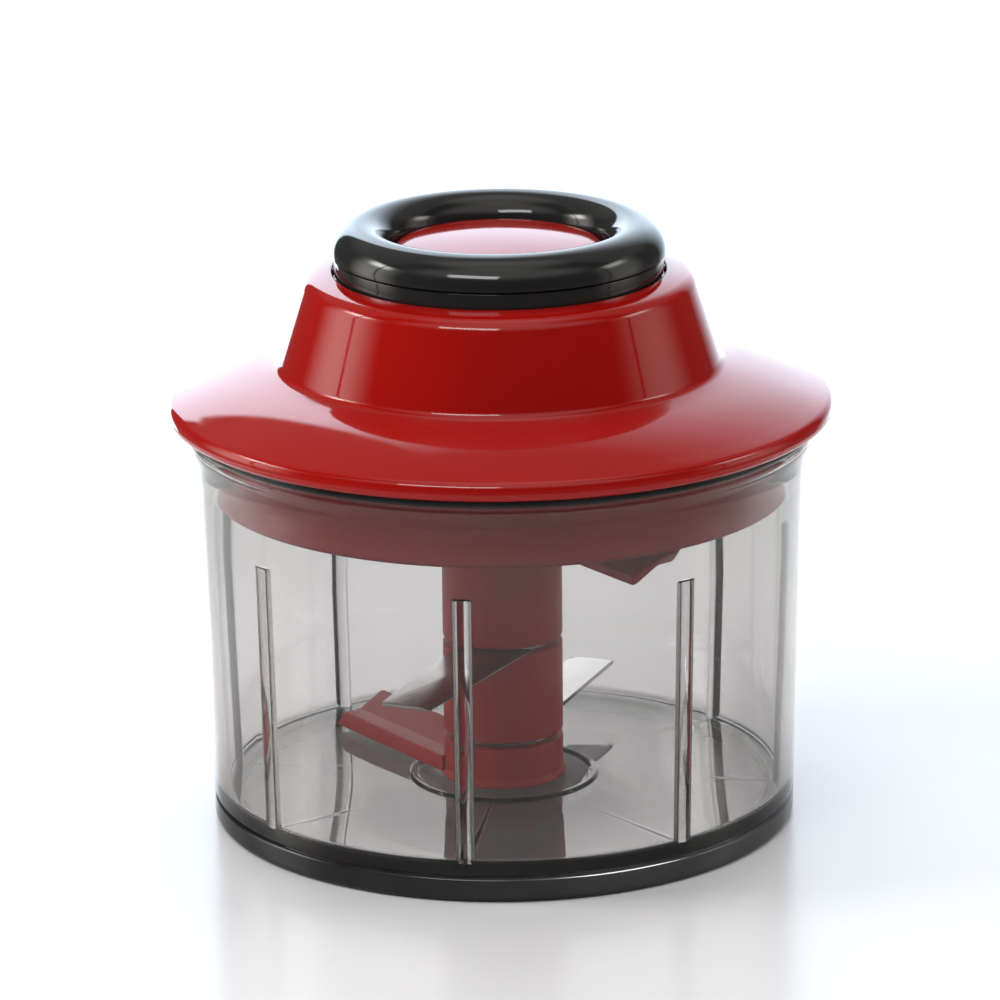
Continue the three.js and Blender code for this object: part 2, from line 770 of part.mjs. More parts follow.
const springOuter = drum.cup - clearance - spring.thickness;
const springSteps = spring.turns * spring.steps;
const springMiddle = cupFloor + clearance + spring.width / 2;
const springLine = Array.from({ length: springSteps + 1 }, (_, i) => {
  const share = i / springSteps;
  const radius = spring.inner + (springOuter - spring.inner) * share;
  return onCircle(radius, 360 * spring.turns * share, springMiddle);
});
const stripHalf = spring.thickness / 2;
const springWidthHalf = spring.width / 2;
const stripSection = [
  [-stripHalf, -springWidthHalf],
  [stripHalf, -springWidthHalf],
  [stripHalf, springWidthHalf],
  [-stripHalf, springWidthHalf],
];
chopper.add(piece('rewind_spring', swept(springLine, stripSection, up), springSteel));

const coverBottom = drumTop - drum.coverStep;
const springCover = rod(coverRebate - clearance, coverBottom, drumTop, middleSteps)
  .subtract(rod(spindleBore + clearance, coverBottom - overrun, drumTop + overrun, smallSteps));
chopper.add(piece('spring_cover', springCover, greyPlastic));

// Drive socket: hangs below the drum and turns the column's hexagonal stub

const socketTop = drumBottom - clearance;
const socketBottom = columnTop + socket.lift;
const driveSocket = turned([
  [0, socketBottom],
  [socket.radius, socketBottom],
  [socket.radius, socketTop - socket.flangeThickness],
  [socket.flange, socketTop - socket.flangeThickness],
  [socket.flange, socketTop],
  [0, socketTop],
], middleSteps).subtract(hexHole(socketBottom - overrun, socketTop - socket.roof));
chopper.add(piece('drive_socket', driveSocket, greyPlastic));

// Socket bush: a plain bearing in the insert's bore

const bushBottom = insertBottom + insert.plate + clearance;
chopper.add(piece('socket_bush', turned([
  [socket.radius + clearance, insertBottom],
  [insert.bore - clearance, insertBottom],
  [insert.bore - clearance, bushBottom],
  [bush.flange, bushBottom],
  [bush.flange, bushBottom + bush.flangeThickness],
  [socket.radius + clearance, bushBottom + bush.flangeThickness],
], middleSteps), blackRubber));

// Cord: the turns on the drum, the lead over the guide, and the stretch up into the pull ring

const cordRadius = cord.diameter / 2;
const windingSteps = cord.loops * cord.steps;
const windingLine = Array.from({ length: windingSteps + 1 }, (_, i) => {
  const share = i / windingSteps;
  const degrees = leaveAngle - 360 * cord.loops * (1 - share);
  return onCircle(windRadius, degrees, windBottom + windPitch * cord.loops * share);
});
const tailStart = windingLine[0].clone().addScaledVector(onCircle(1, leaveAngle + 90, 0), -cord.diameter);
const tailEnd = windingLine[windingSteps].clone().addScaledVector(cordDirection, cord.diameter);
const cordSection = roundSection(cordRadius, cord.sides);
chopper.add(piece('cord_winding', swept([tailStart, ...windingLine, tailEnd], cordSection, up), cordWhite));
console.log(`least gap between cord turns ${leastTurnGap(windingLine).toFixed(3)} mm`);

/** The least gap between the surfaces of a line's turns, between points half a turn or more apart. */
function leastTurnGap(line) {
  let least = Infinity;
  for (let i = 0; i < line.length; i += 1) {
    for (let k = i + cord.steps / 2; k < line.length; k += 1) {
      least = Math.min(least, line[i].distanceTo(line[k]) - cord.diameter);
    }
  }
  return least;
}

const windingSweep = Math.hypot(windRadius + cordRadius, cord.diameter) + clearance;
const leadGap = Math.sqrt(windingSweep ** 2 - (windRadius - cordRadius) ** 2);
const leadStart = leavePoint.clone().setZ(leaveHeight).addScaledVector(cordDirection, leadGap);
const bendStart = pullPoint.clone().addScaledVector(cordDirection, -cord.bend).setZ(leaveHeight);
const leadLine = [leadStart];
for (let i = 0; i <= bendSteps; i += 1) {
  const angle = (Math.PI / 2) * (i / bendSteps);
  leadLine.push(bendStart.clone().addScaledVector(cordDirection, cord.bend * Math.sin(angle))
    .addScaledVector(up, cord.bend * (1 - Math.cos(angle))));
}
leadLine.push(pullPoint.clone().setZ(seatFloor));
chopper.add(piece('cord_lead', swept(leadLine, cordSection, guideAxis), cordWhite));

// Pull ring: two black shells with the cord's knot between them, sitting in the lid's seat

const ringMiddle = seatFloor + handle.middleRise;
const ringParting = ringMiddle - handle.partingDrop;
const channelRoof = ringMiddle + handle.tube - handle.roofWall;
const channelInner = handle.radius - handle.channel;
const channelOuter = handle.radius + handle.channel;
const ringEdge = Math.sqrt(handle.tube ** 2 - handle.partingDrop ** 2);
const partingAngle = THREE.MathUtils.radToDeg(Math.asin(handle.partingDrop / handle.tube));
const baseBottom = seatFloor + handle.seatGap;
const baseTop = ringParting - clearance;
const baseFloor = baseBottom + handle.floor;
const waist = ringEdge - handle.waist;
const tubeRadius = handle.radius - handle.tubeShift;

let upperRing = turned([
  ...arc(tubeRadius, ringMiddle, handle.tube, -partingAngle, 180 + partingAngle, tubeSteps),
  [channelInner, ringParting],
  [channelInner, channelRoof],
  [channelOuter, channelRoof],
  [channelOuter, ringParting],
], wideSteps);
let lowerRing = turned([
  [tubeRadius - waist + handle.chamfer, baseBottom],
  [tubeRadius + waist - handle.chamfer, baseBottom],
  [tubeRadius + waist, baseBottom + handle.chamfer],
  [tubeRadius + waist, baseTop],
  [channelOuter, baseTop],
  [channelOuter, baseFloor],
  [channelInner, baseFloor],
  [channelInner, baseTop],
  [tubeRadius - waist, baseTop],
  [tubeRadius - waist, baseBottom + handle.chamfer],
], wideSteps);
const ringHeadBottom = baseBottom + handleScrew.sunk;
const ringHeadTop = ringHeadBottom + handleScrew.headHeight;
const ringScrewTop = ringParting + handleScrew.reach;
const screwHole = handleScrew.shank + clearance;
const screwRecess = handleScrew.head + clearance;
const postRoof = channelRoof + overrun;
const postFloor = baseBottom + handle.floor / 2;
for (const degrees of handleScrew.angles) {
  const place = onCircle(handle.radius, degrees, 0);
  upperRing = upperRing.add(movedTo(rod(handleScrew.post, ringParting, postRoof, fineSteps), place))
    .subtract(movedTo(rod(screwHole, ringParting - overrun, ringScrewTop + clearance, fineSteps), place));
  lowerRing = lowerRing.add(movedTo(rod(handleScrew.post, postFloor, baseTop, fineSteps), place))
    .subtract(movedTo(rod(screwRecess, baseBottom - overrun, ringHeadTop + clearance, fineSteps), place))
    .subtract(movedTo(rod(screwHole, baseBottom, baseTop + overrun, fineSteps), place));
}
const cordHole = rod(handle.cordHole, baseBottom - overrun, baseFloor + overrun, fineSteps);
lowerRing = lowerRing.subtract(movedTo(cordHole, pullPoint));
chopper.add(piece('pull_ring_top', upperRing, blackGloss));
chopper.add(piece('pull_ring_base', lowerRing, blackGloss));

handleScrew.angles.forEach((degrees, i) => {
  const screw = turned([
    [0, ringHeadBottom],
    [handleScrew.head, ringHeadBottom],
    [handleScrew.head, ringHeadTop],
    [handleScrew.shank, ringHeadTop],
    [handleScrew.shank, ringScrewTop],
    [0, ringScrewTop],
  ], fineSteps);
  chopper.add(piece(`ring_screw_${i + 1}`, movedTo(screw, onCircle(handle.radius, degrees, 0)), steel));
});

const knotBottom = baseFloor + clearance;
const knotNeck = knot.radius * knot.neckShare;
const knotProfile = turned([
  [0, knotBottom],
  [knotNeck, knotBottom],
  [knot.radius, knotBottom + knot.height * knot.bandShare],
  [knot.radius, knotBottom + knot.height * (1 - knot.bandShare)],
  [knotNeck, knotBottom + knot.height],
  [0, knotBottom + knot.height],
], fineSteps);
chopper.add(piece('cord_knot', movedTo(knotProfile, pullPoint), cordWhite));
const pullStart = pullPoint.clone().setZ(seatFloor + clearance);
const pullEnd = pullPoint.clone().setZ(knotBottom - clearance);
chopper.add(piece('pull_cord', swept([pullStart, pullEnd], cordSection, guideAxis), cordWhite));

// Dome cap: the red cap inside the pull ring, over the spindle

const domeBottom = seatFloor + clearance;
const domeEdge = seatFloor + dome.edgeRise;
const domeCrown = seatFloor + dome.crownRise;
const domeShoulderHeight = domeEdge + dome.shoulderRise;
const domeShoulder = dome.radius * dome.shoulderShare;
const domeInner = dome.radius - dome.wall;
chopper.add(piece('dome_cap', turned([
  [dome.radius, domeBottom],
  [dome.radius, domeEdge],
  [(dome.radius + domeShoulder) / 2 + clearance, domeEdge + dome.shoulderRise * dome.roundShare],
  [domeShoulder, domeShoulderHeight],
  [domeShoulder / 2, domeCrown - (domeCrown - domeShoulderHeight) * dome.crownShare],
  [0, domeCrown],
  [0, domeCrown - dome.wall],
  [domeShoulder - dome.wall, domeShoulderHeight - dome.wall],
  [domeInner, domeEdge - dome.wall / 2],
  [domeInner, domeBottom],
], middleSteps), redGloss));

export default chopper;
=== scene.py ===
"""Looks of a pull-string food chopper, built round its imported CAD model.

Sizes are in millimetres in the classes and turned into metres when a mesh is made. The origin is the middle of the
foot, +Z is up, and the camera looks along +Y.
"""

import logging
import math
from dataclasses import dataclass
from enum import Enum
from functools import lru_cache, reduce
from typing import Callable, Optional, Sequence, Union

import bpy
import numpy as np
from mathutils import Matrix, Vector


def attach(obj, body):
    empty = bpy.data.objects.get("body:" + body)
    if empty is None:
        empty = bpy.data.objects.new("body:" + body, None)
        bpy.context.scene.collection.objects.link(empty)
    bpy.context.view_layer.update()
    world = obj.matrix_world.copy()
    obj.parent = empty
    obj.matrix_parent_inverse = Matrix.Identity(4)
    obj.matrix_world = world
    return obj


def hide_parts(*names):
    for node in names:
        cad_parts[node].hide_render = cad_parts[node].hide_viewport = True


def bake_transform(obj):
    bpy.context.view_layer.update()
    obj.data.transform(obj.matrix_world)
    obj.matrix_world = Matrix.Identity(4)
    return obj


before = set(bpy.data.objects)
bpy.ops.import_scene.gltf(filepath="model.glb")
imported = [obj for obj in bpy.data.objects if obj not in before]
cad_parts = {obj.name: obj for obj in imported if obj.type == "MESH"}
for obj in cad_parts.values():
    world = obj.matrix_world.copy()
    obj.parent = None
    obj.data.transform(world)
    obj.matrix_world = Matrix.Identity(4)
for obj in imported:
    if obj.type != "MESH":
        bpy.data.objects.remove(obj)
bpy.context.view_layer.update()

LOG = logging.getLogger("food_chopper")
MM = 0.001
TINY = 1e-5
ROUND_STEPS = 7
WIDE_SEGMENTS = 288
MIDDLE_SEGMENTS = 192
SMALL_SEGMENTS = 60
SMOOTH_ANGLE = 38.0

Colour = tuple[float, float, float]
Link = Union[float, Colour, bpy.types.NodeSocket]
Inputs = dict[Union[str, int], Link]


class Body(str, Enum):
    """The CAD bodies that pieces ride on."""

    BOWL = "bowl"
    BLADES = "blades"
    LID = "lid"
    DRUM = "drum"
    HANDLE = "handle"


class Slot(str, Enum):
    """The record's material slots."""

    SMOKE = "smoke_plastic"
    RED_GLOSS = "red_gloss"
    RED_SATIN = "red_satin"
    BLACK_GLOSS = "black_gloss"
    RUBBER = "black_rubber"
    STEEL = "polished_steel"
    SPRING = "spring_steel"
    GREY = "grey_plastic"
    CORD = "white_cord"


class Cut(str, Enum):
    """What a Boolean does with its tools."""

    JOIN = "UNION"
    REMOVE = "DIFFERENCE"


# Surfaces


@dataclass
class Surface:
    """A mesh as arrays.

    Attributes:
        points: corner places in millimetres, one row each.
        quads: four corner numbers a face.
        triangles: three corner numbers a face.
        uv: a pair of pattern coordinates for each corner, or None.
    """

    points: np.ndarray
    quads: np.ndarray
    triangles: np.ndarray
    uv: Optional[np.ndarray] = None

    def outward(self) -> "Surface":
        """Turns the faces round where the closed surface's signed volume is below zero.

        Returns:
            The surface with its faces pointing out.
        """
        halves = np.concatenate([self.triangles, self.quads[:, [0, 1, 2]], self.quads[:, [0, 2, 3]]])
        a, b, c = (self.points[halves[:, k]] for k in range(3))
        if (a * np.cross(b, c)).sum() < 0:
            self.quads, self.triangles = self.quads[:, ::-1], self.triangles[:, ::-1]
        return self

    def moved(self, place: Sequence[float], turn: Optional[np.ndarray] = None) -> "Surface":
        """Turns the surface about the origin and then moves it.

        Args:
            place: how far to move it, as x, y, z.
            turn: a 3 by 3 turning matrix, or None.

        Returns:
            The moved copy.
        """
        points = self.points if turn is None else self.points @ turn.T
        return Surface(points + np.array(place, float), self.quads, self.triangles, self.uv)


def about_z(degrees: float) -> np.ndarray:
    """The matrix that turns about +Z.

    Args:
        degrees: the angle.

    Returns:
        A 3 by 3 matrix.
    """
    c, s = math.cos(math.radians(degrees)), math.sin(math.radians(degrees))
    return np.array([[c, -s, 0.0], [s, c, 0.0], [0.0, 0.0, 1.0]])


def on_circle(radius: float, degrees: float, height: float = 0.0) -> np.ndarray:
    """A point on a level circle round the axis.

    Args:
        radius: the circle's radius.
        degrees: the angle from +X.
        height: the circle's height.

    Returns:
        The point as x, y, z.
    """
    angle = math.radians(degrees)
    return np.array([radius * math.cos(angle), radius * math.sin(angle), height])


def around(radius: float, count: int, first: float) -> list[np.ndarray]:
    """Places spaced evenly on a level circle round the axis.

    Args:
        radius: the circle's radius.
        count: how many places.
        first: the first one's angle in degrees from +X.

    Returns:
        The places, in order.
    """
    return [on_circle(radius, first + 360.0 / count * k) for k in range(count)]


def merged(parts: Sequence[Surface]) -> Surface:
    """Several surfaces as one.

    Args:
        parts: the surfaces.

    Returns:
        One surface that holds them side by side.
    """
    starts = np.cumsum([0] + [len(part.points) for part in parts[:-1]])
    return Surface(
        np.concatenate([part.points for part in parts]),
        np.concatenate([part.quads + start for part, start in zip(parts, starts)]),
        np.concatenate([part.triangles + start for part, start in zip(parts, starts)]),
    )


def rounded(corners: Sequence[Sequence[float]], closed: bool) -> np.ndarray:
    """An outline with its corners rounded.

    Each corner turns by an angle a. Its arc starts and ends fillet * tan(a / 2) from the corner, and is the rational
    curve ((1-u)^2 start + 2 w u (1-u) corner + u^2 end) / ((1-u)^2 + 2 w u (1-u) + u^2) with w = cos(a / 2), which is
    a true circle's arc.

    Args:
        corners: coordinates, two or three of them, and the fillet's radius last.
        closed: whether the last corner joins the first.

    Returns:
        The outline's points, one row each.
    """
    data = np.array(corners, float)
    place, fillet = data[:, :-1], data[:, -1]
    back, ahead = np.roll(place, 1, 0) - place, np.roll(place, -1, 0) - place
    back_length = np.maximum(np.linalg.norm(back, axis=1), TINY)
    ahead_length = np.maximum(np.linalg.norm(ahead, axis=1), TINY)
    back, ahead = back / back_length[:, None], ahead / ahead_length[:, None]
    half_turn = np.arccos(np.clip(-(back * ahead).sum(1), -1, 1)) / 2
    limit = 0.49 * np.minimum(back_length, ahead_length)
    reach = np.minimum(fillet * np.tan(np.minimum(half_turn, 1.5)), limit)
    if not closed:
        reach[[0, -1]] = 0.0
    weight = np.cos(half_turn)[:, None, None]
    u = np.linspace(0, 1, ROUND_STEPS)[None, :, None]
    start = (place + back * reach[:, None])[:, None, :]
    end = (place + ahead * reach[:, None])[:, None, :]
    near, middle, far = (1 - u) ** 2, 2 * weight * u * (1 - u), u**2
    curve = (near * start + middle * place[:, None, :] + far * end) / (near + middle + far)
    points = curve.reshape(-1, place.shape[1])
    step = np.linalg.norm(points - np.roll(points, 1, 0), axis=1)
    keep = step > TINY
    if not closed:
        keep[0] = True
    return points[keep]


def grid_quads(rows: int, columns: int, closed_rows: bool) -> np.ndarray:
    """The quads of a grid whose columns close on themselves. Point (i, k) has the number i * columns + k.

    Args:
        rows: how many rows of points.
        columns: how many points a row.
        closed_rows: whether the last row joins the first.

    Returns:
        Four corner numbers a face.
    """
    i, k = np.meshgrid(np.arange(rows if closed_rows else rows - 1), np.arange(columns), indexing="ij")
    after, beside = (i + 1) % rows, (k + 1) % columns
    corners = [i * columns + k, i * columns + beside, after * columns + beside, after * columns + k]
    return np.stack(corners, -1).reshape(-1, 4)


def loft(rows: np.ndarray, closed_rows: bool = False, along: Optional[np.ndarray] = None) -> Surface:
    """A skin over rows of closed outlines, with a fan of triangles from the middle of each end row.

    Args:
        rows: an array of rows by points by 3.
        closed_rows: whether the last row joins the first, which leaves no ends.
        along: each row's pattern coordinate along the skin, for a UV map.

    Returns:
        The closed surface.
    """
    count, columns = rows.shape[:2]
    points = rows.reshape(-1, 3)
    triangles = np.zeros((0, 3), int)
    if not closed_rows:
        points = np.concatenate([points, rows[[0, -1]].mean(1)])
        k = np.arange(columns)
        beside = (k + 1) % columns
        first, last = np.full(columns, count * columns), np.full(columns, count * columns + 1)
        base = (count - 1) * columns
        triangles = np.concatenate([np.stack([first, beside, k], 1), np.stack([last, base + k, base + beside], 1)])
    uv = None
    if along is not None:
        across = np.tile(np.arange(columns) / columns, (count, 1))
        uv = np.stack([np.repeat(along[:, None], columns, 1), across], -1).reshape(-1, 2)
        uv = np.concatenate([uv, np.zeros((len(points) - len(uv), 2))])
    return Surface(points, grid_quads(count, columns, closed_rows), triangles, uv).outward()


Shaper = Callable[[np.ndarray, np.ndarray, np.ndarray], np.ndarray]


def lathe(profile: np.ndarray, segments: Union[int, np.ndarray], shaper: Optional[Shaper] = None) -> Surface:
    """A profile of radius r and height h turned about +Z: point = (r cos t, r sin t, h).

    A profile with both ends on the axis closes there. Any other closes on itself.

    Args:
        profile: radius and height, one row a point.
        segments: how many angles to take, or the angles in radians.
        shaper: gives a new radius from arrays of angle, radius and height, or None for a round shape.

    Returns:
        The closed surface.
    """
    angle = np.linspace(0, 2 * np.pi, segments, endpoint=False) if isinstance(segments, int) else segments
    on_axis = profile[0, 0] < TINY and profile[-1, 0] < TINY
    ring = profile[1:-1] if on_axis else profile
    turn, radius = np.broadcast_arrays(angle[None, :], ring[:, :1])
    height = np.broadcast_to(ring[:, 1:], radius.shape)
    if shaper is not None:
        radius = shaper(turn, radius, height)
    rows = np.stack([radius * np.cos(turn), radius * np.sin(turn), height], -1)
    surface = loft(rows, closed_rows=not on_axis)
    if on_axis:
        surface.points[-2:] = [[0, 0, profile[0, 1]], [0, 0, profile[-1, 1]]]
    return surface


def turned(corners: Sequence[Sequence[float]], segments: int, shaper: Optional[Shaper] = None) -> Surface:
    """A lathe over an outline of radius, height and fillet.

    Args:
        corners: radius, height and the fillet's radius at each corner.
        segments: how many angles to take.
        shaper: as for lathe.

    Returns:
        The closed surface.
    """
    on_axis = corners[0][0] < TINY and corners[-1][0] < TINY
    return lathe(rounded(corners, closed=not on_axis), segments, shaper)


def rod(radius: float, bottom: float, top: float, edge: float = 0.0, segments: int = SMALL_SEGMENTS) -> Surface:
    """An upright round rod about the axis.

    Args:
        radius: its radius.
        bottom: its lower end.
        top: its upper end.
        edge: the fillet at both ends.
        segments: how many angles to take.

    Returns:
        The closed surface.
    """
    return turned([(0, bottom, 0), (radius, bottom, edge), (radius, top, edge), (0, top, 0)], segments)


def rods(radius: float, bottom: float, top: float, places: Sequence[np.ndarray]) -> list[Surface]:
    """Equal upright rods with sharp ends.

    Args:
        radius: their radius.
        bottom: their lower end.
        top: their upper end.
        places: where they stand.

    Returns:
        The closed surfaces.
    """
    return [rod(radius, bottom, top).moved(place) for place in places]


def prism(outline: np.ndarray, bottom: float, top: float) -> Surface:
    """An outline in plan raised from one height to another.

    Args:
        outline: x and y, one row a point.
        bottom: the lower height.
        top: the upper height.

    Returns:
        The closed surface.
    """
    rows = [np.column_stack([outline, np.full(len(outline), z)]) for z in (bottom, top)]
    return loft(np.array(rows))


def carried(path: np.ndarray, along: np.ndarray, section: np.ndarray, sideways: Sequence[float]) -> np.ndarray:
    """A section carried along a path: point (i, k) = path i + u k * across i + v k * upright i.

    Across is square to the path and to the sideways direction, and upright is square to both.

    Args:
        path: the points followed, one row each.
        along: the path's direction at each point, of any length.
        section: u and v, one row a point.
        sideways: the fixed direction.

    Returns:
        An array of path points by section points by 3.
    """
    along = along / np.linalg.norm(along, axis=1)[:, None]
    across = np.cross(along, np.array(sideways, float))
    across /= np.linalg.norm(across, axis=1)[:, None]
    upright = np.cross(across, along)
    return path[:, None] + section[None, :, :1] * across[:, None] + section[None, :, 1:] * upright[:, None]


def sweep(path: np.ndarray, section: np.ndarray, sideways: Sequence[float], length_scale: float = 1.0) -> Surface:
    """The skin over a section carried along an open path.

    Args:
        path: the points followed, one row each.
        section: u and v, one row a point.
        sideways: as for carried.
        length_scale: how much the pattern's length is stretched.

    Returns:
        The closed surface with a UV map: millimetres along it, and the share round it.
    """
    rows = carried(path, np.gradient(path, axis=0), section, sideways)
    step = np.linalg.norm(np.diff(path, axis=0), axis=1)
    return loft(rows, along=np.concatenate([[0], np.cumsum(step)]) * length_scale)


def circle(radius: float, sides: int) -> np.ndarray:
    """A circle's points.

    Args:
        radius: its radius.
        sides: how many points.

    Returns:
        u and v, one row a point.
    """
    angle = np.linspace(0, 2 * np.pi, sides, endpoint=False)
    return radius * np.stack([np.cos(angle), np.sin(angle)], 1)


def cross_outline(reach: float, half_width: float) -> np.ndarray:
    """The outline of a cross recess: twelve corners, four arms.

    Args:
        reach: how far the arms go.
        half_width: half an arm's width.

    Returns:
        x and y, one row a point.
    """
    arm = np.array([[reach, -half_width], [reach, half_width], [half_width, half_width]])
    return np.concatenate([arm @ about_z(90.0 * k)[:2, :2].T for k in range(4)])


@dataclass(frozen=True)
class Hexagon:
    """A shaper that makes the rows between two radii hexagonal: r = (flats / 2) / cos(angle from the flat's middle).

    Attributes:
        flats: the hexagon's size across flats.
        beyond: rows up to this radius stay round.
        within: rows from this radius on stay round.
    """

    flats: float
    beyond: float = 0.0
    within: float = 7.0

    def __call__(self, angle: np.ndarray, radius: np.ndarray, height: np.ndarray) -> np.ndarray:
        """Gives the hexagon's radius on the rows between.

        Args:
            angle: angles.
            radius: the profile's radius.
            height: the profile's heights, which it doesn't need.

        Returns:
            The new radius.
        """
        from_middle = (angle % (np.pi / 3)) - np.pi / 6
        between = (radius > self.beyond) & (radius < self.within)
        return np.where(between, self.flats / 2 / np.cos(from_middle), radius)


# Pieces


def mesh_object(name: str, surface: Surface, smooth: float = SMOOTH_ANGLE) -> bpy.types.Object:
    """A Blender object in metres, at the origin, unturned and unscaled.

    Args:
        name: the object's name.
        surface: its shape.
        smooth: edges that turn by more than this many degrees are sharp.

    Returns:
        The object, in the scene.
    """
    mesh = bpy.data.meshes.new(name)
    faces = surface.quads.tolist() + surface.triangles.tolist()
    mesh.from_pydata((surface.points * MM).tolist(), [], faces)
    if surface.uv is not None:
        corner = np.zeros(len(mesh.loops), int)
        mesh.loops.foreach_get("vertex_index", corner)
        layer = mesh.uv_layers.new(name="Strand")
        layer.data.foreach_set("uv", surface.uv[corner].astype(np.float32).ravel())
    mesh.validate()
    shade(mesh, smooth)
    made = bpy.data.objects.new(name, mesh)
    bpy.context.scene.collection.objects.link(made)
    return made


def shade(mesh: bpy.types.Mesh, smooth: float) -> None:
    """Shades a mesh smooth, with its sharper edges kept.

    Args:
        mesh: the mesh.
        smooth: edges that turn by more than this many degrees are sharp.
    """
    mesh.shade_smooth()
    mesh.set_sharp_from_angle(angle=math.radians(smooth))
    mesh.update()


def carve(piece: bpy.types.Object, tools: Sequence[Surface], cut: Cut, smooth: float = SMOOTH_ANGLE) -> None:
    """Joins tools to a piece, or takes them out of it, for good.

    Args:
        piece: the object that is changed.
        tools: closed surfaces that don't meet each other.
        cut: whether they are joined or removed.
        smooth: as for shade.
    """
    tool = mesh_object("tool", merged(tools))
    step = piece.modifiers.new("carve", "BOOLEAN")
    step.object, step.operation, step.solver = tool, cut.value, "EXACT"
    graph = bpy.context.evaluated_depsgraph_get()
    made = bpy.data.meshes.new_from_object(piece.evaluated_get(graph))
    old, piece.data = piece.data, made
    piece.modifiers.clear()
    bpy.data.meshes.remove(old)
    bpy.data.meshes.remove(tool.data)
    made.name = piece.name
    shade(made, smooth)


Step = tuple[Cut, list[Surface]]


def make_piece(
    name: str, surface: Surface, finish: "Finish", body: Body, node: str, *cuts: Step, smooth: float = SMOOTH_ANGLE
) -> None:
    """Makes a piece with its material, its body and the CAD node that it stands for.

    Args:
        name: the object's name.
        surface: its shape before it is carved.
        finish: its finish, which holds its material slot too.
        body: the CAD body it rides on.
        node: the CAD node it replaces.
        cuts: what is joined to it or removed, in order.
        smooth: as for shade.
    """
    piece = mesh_object(name, surface, smooth)
    for cut, tools in cuts:
        carve(piece, tools, cut, smooth)
    piece.data.materials.clear()
    piece.data.materials.append(finish.material())
    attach(piece, body.value)
    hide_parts(node)
    LOG.info("%s: %d faces on %s, %s", name, len(piece.data.polygons), body.value, finish.name)


def make_screws(
    names: tuple[str, str],
    body: Body,
    outline: Sequence[Sequence[float]],
    recess: Surface,
    places: Sequence[np.ndarray],
    twist: float,
) -> None:
    """Makes steel screws, each with its recess turned further than the last one's.

    Args:
        names: the start of the pieces' names and of their CAD nodes' names, which end in _1, _2 and so on.
        body: the CAD body they ride on.
        outline: their corners, as for turned.
        recess: the shape that is taken out of the head.
        places: where they stand.
        twist: degrees from one recess to the next.
    """
    screw = turned(outline, SMALL_SEGMENTS)
    for k, place in enumerate(places, start=1):
        cut = (Cut.REMOVE, [recess.moved(place, about_z(twist * k))])
        make_piece(f"{names[0]}_{k}", screw.moved(place), BRIGHT, body, f"{names[1]}_{k}", cut)


# Materials


